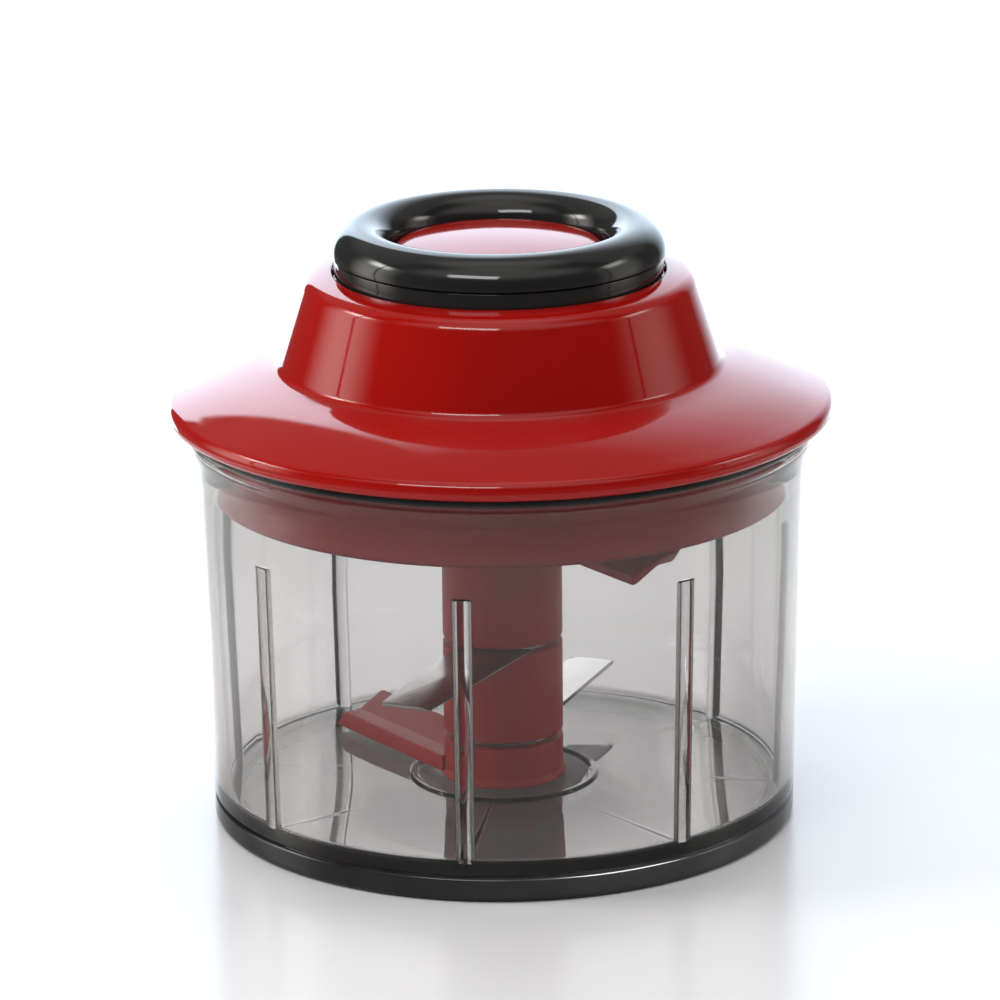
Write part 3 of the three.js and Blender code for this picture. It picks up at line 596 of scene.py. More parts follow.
class Graph:
    """The nodes of a material, world or group, with short calls that add and join them."""

    def __init__(self, tree: bpy.types.NodeTree) -> None:
        """Keeps the tree.

        Args:
            tree: the node tree to add to.
        """
        self.tree = tree

    def put(self, socket: bpy.types.NodeSocket, value: Link) -> None:
        """Joins a socket to another, or sets it.

        Args:
            socket: the input.
            value: an output socket, a number or a colour.
        """
        if isinstance(value, bpy.types.NodeSocket):
            self.tree.links.new(value, socket)
        elif isinstance(value, tuple) and len(value) == 3 and socket.type == "RGBA":
            socket.default_value = (*value, 1.0)
        else:
            socket.default_value = value

    def fill(self, node: bpy.types.Node, inputs: Inputs) -> bpy.types.Node:
        """Joins or sets several inputs of a node.

        Args:
            node: the node.
            inputs: values or links by input name or number.

        Returns:
            The same node.
        """
        for key, value in inputs.items():
            self.put(node.inputs[key], value)
        return node

    def add(self, kind: str, inputs: Optional[Inputs] = None, **settings: object) -> bpy.types.Node:
        """Adds a node.

        Args:
            kind: its type.
            inputs: values or links by input name or number.
            settings: the node's own properties.

        Returns:
            The node.
        """
        node = self.tree.nodes.new(kind)
        for key, value in settings.items():
            setattr(node, key, value)
        return self.fill(node, inputs or {})

    def group(self, tree: bpy.types.NodeTree, inputs: Optional[Inputs] = None) -> bpy.types.Node:
        """Places a node group.

        Args:
            tree: the group.
            inputs: values or links by input name.

        Returns:
            The group's node.
        """
        return self.add("ShaderNodeGroup", inputs, node_tree=tree)

    def math(self, operation: str, a: Link, b: Link = 0.0) -> bpy.types.NodeSocket:
        """An operation on one or two numbers.

        Args:
            operation: the Math node's operation.
            a: the first number.
            b: the second number.

        Returns:
            The result's socket.
        """
        return self.add("ShaderNodeMath", {0: a, 1: b}, operation=operation).outputs[0]

    def times(self, *values: Link) -> bpy.types.NodeSocket:
        """The product of several numbers.

        Args:
            values: two or more numbers.

        Returns:
            The product's socket.
        """
        return reduce(lambda a, b: self.math("MULTIPLY", a, b), values)

    def plus(self, *values: Link) -> bpy.types.NodeSocket:
        """The sum of several numbers.

        Args:
            values: two or more numbers.

        Returns:
            The sum's socket.
        """
        return reduce(lambda a, b: self.math("ADD", a, b), values)

    def span(
        self, value: Link, low: float, high: float, to_low: float = 0.0, to_high: float = 1.0, smooth: bool = False
    ) -> bpy.types.NodeSocket:
        """A number carried from one range to another, and held inside it.

        Args:
            value: the number.
            low: the start of its range.
            high: the end of its range.
            to_low: the start of the new range.
            to_high: the end of the new range.
            smooth: whether the ends are eased.

        Returns:
            The result's socket.
        """
        inputs = {"Value": value, "From Min": low, "From Max": high, "To Min": to_low, "To Max": to_high}
        kind = "SMOOTHSTEP" if smooth else "LINEAR"
        return self.add("ShaderNodeMapRange", inputs, interpolation_type=kind).outputs[0]

    def blend(self, factor: Link, a: Link, b: Link) -> bpy.types.NodeSocket:
        """A mix of two colours.

        Args:
            factor: 0 for the first, 1 for the second.
            a: the first colour.
            b: the second colour.

        Returns:
            The mixed colour's socket.
        """
        return self.add("ShaderNodeMix", {0: factor, 6: a, 7: b}, data_type="RGBA").outputs[2]

    def place(self) -> bpy.types.NodeSocket:
        """Where a point lies on its object.

        Returns:
            The Object coordinates' socket.
        """
        return self.add("ShaderNodeTexCoord").outputs["Object"]

    def noise(self, place: Link, scale: Link, detail: float, **more: Link) -> bpy.types.NodeSocket:
        """A cloud of noise between 0 and 1.

        Args:
            place: the coordinates.
            scale: how fine it is.
            detail: how many finer layers it has.
            more: other inputs by name.

        Returns:
            The noise's socket.
        """
        return self.add("ShaderNodeTexNoise", {"Vector": place, "Scale": scale, "Detail": detail, **more}).outputs[0]

    def bump(self, shader: bpy.types.Node, relief: float, height: Link) -> None:
        """Gives a shader a bump.

        Args:
            shader: the Principled BSDF.
            relief: the bump's height in metres.
            height: the pattern, from 0 to 1.
        """
        bump = self.add("ShaderNodeBump", {"Strength": 1.0, "Distance": relief, "Height": height})
        self.put(shader.inputs["Normal"], bump.outputs[0])


def new_group(name: str, inputs: dict[str, Optional[float]], outputs: Sequence[str]) -> tuple[Graph, dict, dict]:
    """An empty shader node group.

    Args:
        name: the group's name.
        inputs: input names and their defaults, or None for a vector.
        outputs: output names. They are all numbers.

    Returns:
        The group's graph, its inputs' sockets by name, and the output node's sockets by name.
    """
    tree = bpy.data.node_groups.new(name, "ShaderNodeTree")
    for key, value in inputs.items():
        kind = "NodeSocketVector" if value is None else "NodeSocketFloat"
        socket = tree.interface.new_socket(key, in_out="INPUT", socket_type=kind)
        if value is not None:
            socket.default_value = value
    for key in outputs:
        tree.interface.new_socket(key, in_out="OUTPUT", socket_type="NodeSocketFloat")
    start, end = tree.nodes.new("NodeGroupInput"), tree.nodes.new("NodeGroupOutput")
    return Graph(tree), {key: start.outputs[key] for key in inputs}, {key: end.inputs[key] for key in outputs}


@lru_cache
def mould_group() -> bpy.types.NodeTree:
    """The skin of a moulded part: fine peel, slow sink waves, and patches of slightly other colour.

    Returns:
        The group, with outputs Height and Patch.
    """
    graph, given, out = new_group("moulded_skin", {"Peel Scale": 900.0, "Wave Scale": 45.0}, ["Height", "Patch"])
    place = graph.place()
    peel = graph.noise(place, given["Peel Scale"], 3.0)
    wave = graph.noise(place, given["Wave Scale"], 1.0)
    graph.put(out["Height"], graph.plus(graph.times(peel, 0.35), wave))
    graph.put(out["Patch"], graph.span(wave, 0.35, 0.65, smooth=True))
    return graph.tree


@lru_cache
def film_group() -> bpy.types.NodeTree:
    """Finger smears and specks of dust on a handled surface.

    Returns:
        The group, with outputs Smear and Dust.
    """
    graph, given, out = new_group("handling_film", {"Scale": 70.0, "Dust Scale": 2600.0}, ["Smear", "Dust"])
    place = graph.place()
    smear = graph.noise(place, given["Scale"], 6.0, Roughness=0.62, Distortion=1.4)
    specks = graph.add("ShaderNodeTexVoronoi", {"Vector": place, "Scale": given["Dust Scale"]}).outputs["Distance"]
    rare = graph.noise(place, given["Scale"], 2.0)
    graph.put(out["Smear"], graph.span(smear, 0.42, 0.72, smooth=True))
    graph.put(out["Dust"], graph.times(graph.span(specks, 0.16, 0.05), graph.span(rare, 0.52, 0.66)))
    return graph.tree


@lru_cache
def edge_group() -> bpy.types.NodeTree:
    """Wear along raised edges, broken up by a noise.

    Returns:
        The group, with the output Wear.
    """
    graph, given, out = new_group("edge_wear", {"Start": 0.53, "Scale": 500.0}, ["Wear"])
    point = graph.add("ShaderNodeNewGeometry").outputs["Pointiness"]
    noise = graph.noise(graph.place(), given["Scale"], 4.0)
    raised = graph.span(graph.math("SUBTRACT", point, given["Start"]), 0.0, 0.09)
    graph.put(out["Wear"], graph.times(raised, graph.span(noise, 0.4, 0.62)))
    return graph.tree


@lru_cache
def grind_group() -> bpy.types.NodeTree:
    """Fine grinding lines, drawn out along local X of the vector that it gets.

    Returns:
        The group, with outputs Height and Tone.
    """
    graph, given, out = new_group("grinding_lines", {"Vector": None}, ["Height", "Tone"])
    stretch = {"Vector": given["Vector"], "Scale": (30.0, 2400.0, 2400.0)}
    lines = graph.noise(graph.add("ShaderNodeMapping", stretch).outputs[0], 1.0, 4.0)
    cloud = graph.noise(given["Vector"], 160.0, 3.0)
    graph.put(out["Height"], lines)
    graph.put(out["Tone"], graph.times(graph.plus(lines, cloud), 0.5))
    return graph.tree


@lru_cache
def braid_group() -> bpy.types.NodeTree:
    """Strands that cross on a round braid: the larger of two waves that climb opposite ways round the cord.

    Returns:
        The group, with outputs Height and Shade. Shade is 0 in the grooves between strands and masks the painted shade
        there.
    """
    graph, given, out = new_group("round_braid", {"Pitch": 2.6, "Strands": 4.0}, ["Height", "Shade"])
    split = graph.add("ShaderNodeSeparateXYZ", {0: graph.add("ShaderNodeUVMap", uv_map="Strand").outputs[0]})
    climb = graph.math("DIVIDE", split.outputs[0], given["Pitch"])
    round_it = graph.times(split.outputs[1], given["Strands"])
    one, two = (
        graph.math("ABSOLUTE", graph.math("SINE", graph.times(graph.math(way, climb, round_it), math.pi)))
        for way in ("ADD", "SUBTRACT")
    )
    height = graph.math("MAXIMUM", one, two)
    graph.put(out["Height"], height)
    # Mask for painted shade: low parts of the braid, the grooves, go to 0.
    graph.put(out["Shade"], graph.span(height, 0.72, 0.98))
    return graph.tree


@dataclass(frozen=True)
class Finish:
    """A surface finish, which makes one material and keeps it for later pieces.

    Attributes:
        name: the material's name.
        slot: the record's material slot.
    """

    name: str
    slot: Slot

    def material(self) -> bpy.types.Material:
        """The finish's material, made at its first use.

        Returns:
            The material.
        """
        found = bpy.data.materials.get(self.name)
        if found is None:
            found = bpy.data.materials.new(self.name)
            found.use_nodes = True
            self.dress(Graph(found.node_tree), found.node_tree.nodes["Principled BSDF"])
        return found

    def dress(self, graph: Graph, shader: bpy.types.Node) -> None:
        """Sets the shader. Each kind of finish does this its own way.

        Args:
            graph: the material's nodes.
            shader: its Principled BSDF.
        """
        raise NotImplementedError


@dataclass(frozen=True)
class Moulded(Finish):
    """Moulded plastic or rubber.

    Attributes:
        colour: its colour.
        patch: the slightly different colour of its flow patches.
        worn: the colour of worn edges and dust.
        roughness: the clean surface's roughness.
        smeared: how much roughness a smear adds.
        relief: the bump's height in metres.
        peel: the fine peel's scale.
        ior: its refractive index.
        wear: how much of the worn colour shows on edges.
        dust: how much of it shows on dust.
    """

    colour: Colour
    patch: Colour
    worn: Colour
    roughness: float
    smeared: float
    relief: float
    peel: float = 900.0
    ior: float = 1.5
    wear: float = 0.25
    dust: float = 0.35

    def dress(self, graph: Graph, shader: bpy.types.Node) -> None:
        """Colour from flow patches, worn edges and dust; roughness from smears; a bump from the skin.

        Args:
            graph: the material's nodes.
            shader: its Principled BSDF.
        """
        skin = graph.group(mould_group(), {"Peel Scale": self.peel})
        film = graph.group(film_group())
        edge = graph.group(edge_group())
        colour = graph.blend(skin.outputs["Patch"], self.colour, self.patch)
        colour = graph.blend(graph.times(edge.outputs["Wear"], self.wear), colour, self.worn)
        colour = graph.blend(graph.times(film.outputs["Dust"], self.dust), colour, self.worn)
        rough = graph.span(film.outputs["Smear"], 0.0, 1.0, self.roughness, self.roughness + self.smeared)
        graph.fill(shader, {"Base Color": colour, "Roughness": rough, "IOR": self.ior})
        graph.bump(shader, self.relief, skin.outputs["Height"])


@dataclass(frozen=True)
class Clear(Finish):
    """Clear tinted plastic, which dims light as it passes through its wall.

    Attributes:
        roughness: the clean surface's roughness.
        smeared: how many times rougher a smear is.
        relief: the bump's height in metres.
        ior: its refractive index.
        density: how fast light is taken up, in 1/m.
        tint: the colour that passes.
        veil: what a lamp's ray keeps at each face.
    """

    roughness: float
    smeared: float
    relief: float
    ior: float
    density: float
    tint: Colour
    veil: float

    def dress(self, graph: Graph, shader: bpy.types.Node) -> None:
        """Glass with a taking-up volume. Lamps' rays pass straight through it.

        Args:
            graph: the material's nodes.
            shader: its Principled BSDF.
        """
        film = graph.group(film_group(), {"Scale": 40.0})
        skin = graph.group(mould_group(), {"Peel Scale": 110.0, "Wave Scale": 30.0})
        rough = graph.span(film.outputs["Smear"], 0.0, 1.0, self.roughness, self.roughness * self.smeared)
        glass = {"Base Color": (1.0, 1.0, 1.0), "Roughness": rough, "IOR": self.ior, "Transmission Weight": 1.0}
        graph.fill(shader, glass)
        graph.bump(shader, self.relief, skin.outputs["Height"])
        through = graph.add("ShaderNodeBsdfTransparent", {"Color": (self.veil,) * 3})
        lamp_ray = graph.add("ShaderNodeLightPath").outputs["Is Shadow Ray"]
        surface = graph.add("ShaderNodeMixShader", {0: lamp_ray, 1: shader.outputs[0], 2: through.outputs[0]})
        volume = graph.add("ShaderNodeVolumeAbsorption", {"Color": self.tint, "Density": self.density})
        output = graph.tree.nodes["Material Output"]
        graph.fill(output, {"Surface": surface.outputs[0], "Volume": volume.outputs[0]})


@dataclass(frozen=True)
class Steel(Finish):
    """Ground and polished steel.

    Attributes:
        colour: the bright colour.
        dull: the colour between the grinding lines.
        roughness: the least roughness.
        spread: how much roughness the lines add.
        degrees: which way the lines run, from +X.
        relief: the bump's height in metres.
    """

    colour: Colour
    dull: Colour
    roughness: float
    spread: float
    degrees: float = 0.0
    relief: float = 2e-6

    def dress(self, graph: Graph, shader: bpy.types.Node) -> None:
        """Metal whose tone, roughness and bump follow the grinding lines, with smears on top.

        Args:
            graph: the material's nodes.
            shader: its Principled BSDF.
        """
        turn = (0.0, 0.0, math.radians(-self.degrees))
        along = graph.add("ShaderNodeMapping", {"Vector": graph.place(), "Rotation": turn}).outputs[0]
        lines = graph.group(grind_group(), {"Vector": along})
        film = graph.group(film_group(), {"Scale": 90.0})
        tone = lines.outputs["Tone"]
        rough = graph.span(tone, 0.2, 0.8, self.roughness, self.roughness + self.spread)
        rough = graph.plus(rough, graph.times(film.outputs["Smear"], self.spread))
        metal = {"Base Color": graph.blend(tone, self.dull, self.colour), "Metallic": 1.0, "Roughness": rough}
        graph.fill(shader, metal)
        graph.bump(shader, self.relief, lines.outputs["Height"])


@dataclass(frozen=True)
class Braid(Finish):
    """Braided cord.

    Attributes:
        colour: the strands' colour.
        deep: the painted shade in the grooves between strands, darker than the strands' own colour.
        pitch: the braid's length of repeat in pattern units.
        relief: the strands' height in metres.
    """

    colour: Colour
    deep: Colour
    pitch: float = 2.6
    relief: float = 1.5e-4

    def dress(self, graph: Graph, shader: bpy.types.Node) -> None:
        """Strands from the braid group, with painted shade in the grooves between them, and fine fibres from a noise.

        Args:
            graph: the material's nodes.
            shader: its Principled BSDF.
        """
        braid = graph.group(braid_group(), {"Pitch": self.pitch})
        fibre = graph.noise(graph.place(), 9000.0, 2.0)
        groove_shade_mix = graph.times(braid.outputs["Shade"], graph.span(fibre, 0.3, 0.7, 0.8, 1.0))
        # Painted shade: the colour goes to deep in the grooves between strands.
        cord = {"Base Color": graph.blend(groove_shade_mix, self.deep, self.colour), "Sheen Weight": 0.3}
        graph.fill(shader, {**cord, "Roughness": graph.span(fibre, 0.0, 1.0, 0.75, 0.95)})
        graph.bump(shader, self.relief, graph.plus(braid.outputs["Height"], graph.times(fibre, 0.15)))


SMOKE = Clear(
    "clear_smoke", Slot.SMOKE, roughness=0.012, smeared=2.5, relief=1.5e-6, ior=1.57, density=146.0,
    tint=(0.205, 0.190, 0.178), veil=0.96,
)
RED = Moulded(
    "red_gloss_plastic", Slot.RED_GLOSS, colour=(0.40, 0.0055, 0.0032), patch=(0.385, 0.005, 0.0032),
    worn=(0.5, 0.05, 0.04), roughness=0.05, smeared=0.04, relief=5e-6,
)
RED_SATIN = Moulded(
    "red_satin_plastic", Slot.RED_SATIN, colour=(0.27, 0.006, 0.006), patch=(0.25, 0.005, 0.006),
    worn=(0.32, 0.05, 0.04), roughness=0.44, smeared=0.08, relief=6e-7, peel=300.0, ior=1.38,
)
BLACK = Moulded(
    "black_gloss_plastic", Slot.BLACK_GLOSS, colour=(0.016, 0.016, 0.016), patch=(0.019, 0.019, 0.019),
    worn=(0.05, 0.05, 0.05), roughness=0.07, smeared=0.05, relief=5e-6,
)
RUBBER = Moulded(
    "black_foot_rubber", Slot.RUBBER, colour=(0.010, 0.010, 0.011), patch=(0.014, 0.014, 0.015),
    worn=(0.05, 0.05, 0.05), roughness=0.12, smeared=0.12, relief=5e-6, peel=1500.0,
)
GREY = Moulded(
    "grey_inner_plastic", Slot.GREY, colour=(0.10, 0.10, 0.11), patch=(0.09, 0.09, 0.10),
    worn=(0.22, 0.22, 0.22), roughness=0.42, smeared=0.15, relief=1.5e-5, peel=1500.0,
)
BRIGHT = Steel("turned_steel", Slot.STEEL, (0.68, 0.69, 0.71), (0.5, 0.51, 0.53), roughness=0.16, spread=0.1)
TEMPERED = Steel(
    "tempered_strip_steel", Slot.SPRING, (0.34, 0.35, 0.38), (0.22, 0.23, 0.26), roughness=0.28, spread=0.12
)
# deep is painted shade for the grooves between the strands.
WHITE_CORD = Braid("braided_white_cord", Slot.CORD, colour=(0.74, 0.72, 0.68), deep=(0.34, 0.32, 0.29))


# The chopper

HEX_FLATS = 11.6
SEAT_FLOOR = 110.9
PULL_RADIUS = 28.2
CORD_RADIUS = 0.9
CORD_PLACE = on_circle(PULL_RADIUS, 90.0)
CORD_SECTION = circle(CORD_RADIUS, 16)


@dataclass
class Base:
    """The clear bowl with its foot ring and pivot pin."""

    wall: float = 2.5
    foot_radius: float = 58.95
    neck_radius: float = 60.5
    neck_height: float = 72.0
    rim_radius: float = 62.8
    rim_height: float = 82.0
    rim_band: float = 2.4
    rim_wall: float = 2.3
    flare_dip: float = 0.5
    floor_under: float = 3.4
    floor_top: float = 7.4
    ring_radius: float = 58.9
    ring_width: float = 4.6
    ring_height: float = 5.0
    ring_gap: float = 0.3
    rib_count: int = 8
    rib_half_width: float = 1.9
    rib_proud: float = 1.6
    rib_top: float = 62.0
    rib_round: float = 0.7
    rib_first: float = -97.7
    rib_middle: float = 30.0
    bead_radius: float = 18.3
    bead_rise: float = 0.6
    boss_radius: float = 4.6
    boss_rise: float = 4.6
    pin_hole: float = 2.2
    pin_seat: float = 1.8

    def inner_radius(self, height: np.ndarray) -> np.ndarray:
        """The wall's inner radius: a straight draft from foot to neck.

        Args:
            height: heights on the straight wall.

        Returns:
            The radius at each.
        """
        draft = (self.neck_radius - self.foot_radius) / (self.neck_height - self.ring_height)
        return self.foot_radius - self.wall + draft * (height - self.ring_height)

    def rib_angles(self) -> np.ndarray:
        """The ribs' middles.

        Returns:
            Angles in radians.
        """
        return np.radians(self.rib_first + 360.0 / self.rib_count * np.arange(self.rib_count))

    def angles(self) -> np.ndarray:
        """Angles to sample the bowl at: even steps, and close ones over each rib, spaced as a cosine.

        Returns:
            Sorted angles in radians.
        """
        even = np.linspace(0, 2 * np.pi, WIDE_SEGMENTS, endpoint=False)
        half = self.rib_half_width / self.inner_radius(np.array(self.rib_middle))
        off = np.abs((even[:, None] - self.rib_angles()[None, :] + np.pi) % (2 * np.pi) - np.pi).min(1)
        close = self.rib_angles()[:, None] + half * np.cos(np.linspace(0, np.pi, 25))[None, :]
        return np.sort(np.concatenate([even[off > half * 1.1], (close % (2 * np.pi)).ravel()]))

    def ribbed(self, angle: np.ndarray, radius: np.ndarray, height: np.ndarray) -> np.ndarray:
        """Stands the ribs proud of the inner wall.

        A rib's height is proud * sqrt(1 - (t / w)^2) across its half width w, times a quarter round towards its top.
        The radius is the smaller of the plain one and the wall's less the rib.

        Args:
            angle: angles.
            radius: the plain profile's radius.
            height: the profile's heights.

        Returns:
            The radius with ribs.
        """
        away = np.abs((angle[..., None] - self.rib_angles() + np.pi) % (2 * np.pi) - np.pi).min(-1)
        wall = self.inner_radius(height)
        across = away * self.inner_radius(np.array(self.rib_middle)) / self.rib_half_width
        stand = self.rib_proud * np.sqrt(np.clip(1 - across**2, 0, 1))
        up = np.clip((height - self.rib_top + self.rib_round) / self.rib_round, 0, 1)
        stand = np.where(height <= self.rib_top, stand * np.sqrt(1 - up**2), 0.0)
        inside = (height > self.floor_top - TINY) & (radius < wall + TINY)
        return np.where(inside & (stand > 0), np.minimum(radius, wall - stand), radius)

    def profile(self) -> np.ndarray:
        """The bowl's outline from the middle of its underside, up the outside, over the rim and down inside.

        Returns:
            Radius and height, one row a point.
        """
        rim_low = self.rim_height - self.rim_band
        flare = (self.neck_radius + self.rim_radius) / 2 - self.flare_dip
        flare_height = (self.neck_height + rim_low) / 2
        inner_rim = self.rim_radius - self.rim_wall
        ring_inner = self.ring_radius - self.ring_width - self.ring_gap
        ring_top = self.ring_height + self.ring_gap
        corner = float(self.inner_radius(np.array(self.floor_top)))
        outside = [
            (0, self.floor_under, 0),
            (ring_inner, self.floor_under, 0.3),
            (ring_inner, ring_top, 0.3),
            (self.foot_radius, ring_top, 0.9),
            (self.neck_radius, self.neck_height, 40),
            (flare, flare_height, 16),
            (self.rim_radius, rim_low, 4),
            (self.rim_radius, self.rim_height, 0.6),
            (inner_rim, self.rim_height, 0.6),
            (inner_rim, rim_low, 1.5),
            (flare - self.wall, flare_height, 18),
            (self.neck_radius - self.wall, self.neck_height, 42),
        ]
        rise = self.rib_top - self.rib_round * np.cos(np.linspace(0, np.pi / 2, 7))
        stops = np.concatenate([[self.rib_top + 0.01], rise[::-1]])
        wall = [(float(self.inner_radius(z)), float(z), 0) for z in stops]
        bead, bead_top, boss_top = self.bead_radius, self.floor_top + self.bead_rise, self.floor_top + self.boss_rise
        floor = [
            (corner, self.floor_top, 1.6),
            (bead + 1.0, self.floor_top, 0.5),
            (bead + 0.5, bead_top, 0.4),
            (bead - 0.5, bead_top, 0.4),
            (bead - 1.0, self.floor_top, 0.5),
            (self.boss_radius, self.floor_top, 0.6),
            (self.boss_radius, boss_top, 0.4),
            (self.pin_hole, boss_top, 0.2),
            (self.pin_hole, self.floor_under + self.pin_seat, 0),
            (0, self.floor_under + self.pin_seat, 0),
        ]
        return rounded(outside + wall + floor, closed=False)

    def build(self) -> None:
        """Makes the bowl, the foot ring and the pin."""
        bowl = lathe(self.profile(), self.angles(), self.ribbed)
        make_piece("clear_bowl", bowl, SMOKE, Body.BOWL, "bowl")
        inner = self.ring_radius - self.ring_width
        foot = [
            (inner, 0, 0.4),
            (self.ring_radius, 0, 1.5),
            (self.ring_radius, self.ring_height, 0.7),
            (inner, self.ring_height, 0.3),
        ]
        make_piece("rubber_foot", turned(foot, WIDE_SEGMENTS), RUBBER, Body.BOWL, "foot_ring")
        pin = [(0, 5.5, 0), (1.9, 5.5, 0.2), (1.9, 30.7, 0.3), (1.1, 31.5, 0.4), (0, 31.5, 0)]
        make_piece("column_pin", turned(pin, SMALL_SEGMENTS), BRIGHT, Body.BOWL, "pivot_pin")


@dataclass
class BladeColumn:
    """Three red sleeves on a hexagonal shaft, with two blades in the seams and two paddles."""

    radius: float = 12.1
    flare: float = 13.1
    flare_height: float = 1.7
    bottom: float = 7.7
    boss_radius: float = 5.2
    boss_edge: float = 0.3
    boss_top: float = 12.3
    lower_seam: float = 16.3
    upper_seam: float = 36.4
    seam_gap: float = 0.3
    top: float = 66.4
    flats: float = HEX_FLATS
    edge: float = 0.35
    blade_thickness: float = 0.8
    blade_reach: float = 49.9
    blade_bevel: float = 2.4
    blade_disc: float = 10.4
    blade_smooth: float = 20.0
    upper_angle: float = -112.2
    paddle_angle: float = 125.7
    paddle_bottom: float = 8.3
    paddle_drop: float = 3.0

    def paddle(self, base: float, degrees: float, sense: float) -> Surface:
        """A paddle: its rounded section is drawn from inside the sleeve to a rounded tip.

        Point = (reach, -offset, base + sense * height), turned about +Z. Towards the tip the section shrinks to its
        middle by r (1 - cos a) as the reach grows by r sin a, which rounds the end.

        Args:
            base: the height of its flat side.
            degrees: its direction.
            sense: 1 if it rises from the base, -1 if it hangs.

        Returns:
            The closed surface.
        """
        corners = [
            (-11.8, 0.0, 44.0, 0.5),
            (-7.6, 0.7, 44.0, 1.0),
            (0.2, 3.8, 43.5, 0.5),
            (0.2, 5.9, 43.5, 0.5),
            (-7.6, 3.6, 41.0, 0.6),
            (-11.8, 3.6, 41.0, 0.5),
        ]
        section = rounded(corners, closed=True)
        middle = section.mean(0)
        edge, start, half_width = 0.5, 5.0, 3.0
        turn = np.linspace(0, np.pi / 2, 5)
        shrink = np.concatenate([[0.0], edge * (1 - np.cos(turn)) / half_width])
        reach = np.concatenate([[0.0], edge * (np.sin(turn) - 1)])
        flat = section[None, :, :2] + (middle[:2] - section[:, :2])[None] * shrink[:, None, None]
        length = np.where(np.arange(len(reach))[:, None] == 0, start, section[None, :, 2] + reach[:, None])
        rows = np.stack([length, -flat[..., 0], base + sense * flat[..., 1]], -1)
        return loft(rows @ about_z(degrees).T)

    def blade(self, bottom: float) -> Surface:
        """A blade's arm: a section with a ground leading edge, drawn along +X with a taper.

        Args:
            bottom: the height of its underside.

        Returns:
            The closed surface.
        """
        root, tip, thick, thin = 3.0, self.blade_reach, self.blade_thickness, 0.1
        reach = np.array([0.0, root, tip - 0.15, tip])
        lead = np.interp(reach, [root, tip], [9.2, 5.0])
        trail = np.interp(reach, [0.0, tip], [-5.8, -5.0])
        end = np.array([0.0, 0.0, 0.0, 0.12])
        section = [
            (trail, end),
            (lead, end),
            (lead, thin + end),
            (lead - self.blade_bevel, thick - end),
            (trail + thin, thick - end),
            (trail, thick - thin - end),
        ]
        rows = [np.stack([reach, y, bottom + z], -1) for y, z in section]
        return loft(np.array(rows).transpose(1, 0, 2))

    def build(self) -> None:
        """Makes the sleeves, the blades, and dresses the shaft."""
        hole, edge, gap, thick = self.flats / 2, self.edge, self.seam_gap, self.blade_thickness
        lower = [
            (hole, self.boss_top, 0),
            (self.boss_radius, self.boss_top, 0),
            (self.boss_radius, self.bottom, self.boss_edge),
            (self.flare, self.bottom, 0.5),
            (self.radius, self.bottom + self.flare_height, 1.2),
            (self.radius, self.lower_seam - gap, edge),
            (hole, self.lower_seam - gap, 0),
        ]
        low, high = self.lower_seam + thick + gap, self.upper_seam - gap
        middle = [(hole, low, 0), (self.radius, low, edge), (self.radius, high, edge), (hole, high, 0)]
        low = self.upper_seam + thick + gap
        upper = [(hole, low, 0), (self.radius, low, edge), (self.radius, self.top, 0.5), (hole, self.top, 0.2)]
        rising = self.paddle(self.paddle_bottom, self.paddle_angle, 1.0)
        hanging = self.paddle(self.top - self.paddle_drop, self.paddle_angle + 180.0, -1.0)
        plain, stepped = Hexagon(self.flats), Hexagon(self.flats, beyond=self.boss_radius + self.boss_edge + TINY)
        for name, outline, bore, cuts in (
            ("lower", lower, stepped, [(Cut.JOIN, [rising])]),
            ("middle", middle, plain, []),
            ("upper", upper, plain, [(Cut.JOIN, [hanging])]),
        ):
            sleeve = turned(outline, MIDDLE_SEGMENTS, bore)
            make_piece(f"{name}_sleeve", sleeve, RED_SATIN, Body.BLADES, f"{name}_hub", *cuts)
        for name, seam, degrees in (
            ("lower", self.lower_seam, self.upper_angle + 180.0),
            ("upper", self.upper_seam, self.upper_angle),
        ):
            arm = self.blade(seam).moved((0, 0, 0), about_z(degrees))
            opening = prism(circle(self.flats / math.sqrt(3), 6), seam - 1, seam + 2)
            cuts = [(Cut.JOIN, [rod(self.blade_disc, seam, seam + thick)]), (Cut.REMOVE, [opening])]
            finish = Steel(
                f"{name}_blade_steel", Slot.STEEL, (0.50, 0.50, 0.505), (0.43, 0.43, 0.435), roughness=0.18,
                spread=0.05, degrees=degrees, relief=3e-7,
            )
            make_piece(
                f"{name}_steel_blade", arm, finish, Body.BLADES, f"{name}_blade", *cuts, smooth=self.blade_smooth
            )
        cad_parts["core_shaft"].data.materials.clear()
        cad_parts["core_shaft"].data.materials.append(GREY.material())
        LOG.info("core_shaft: carried over, %s", GREY.name)


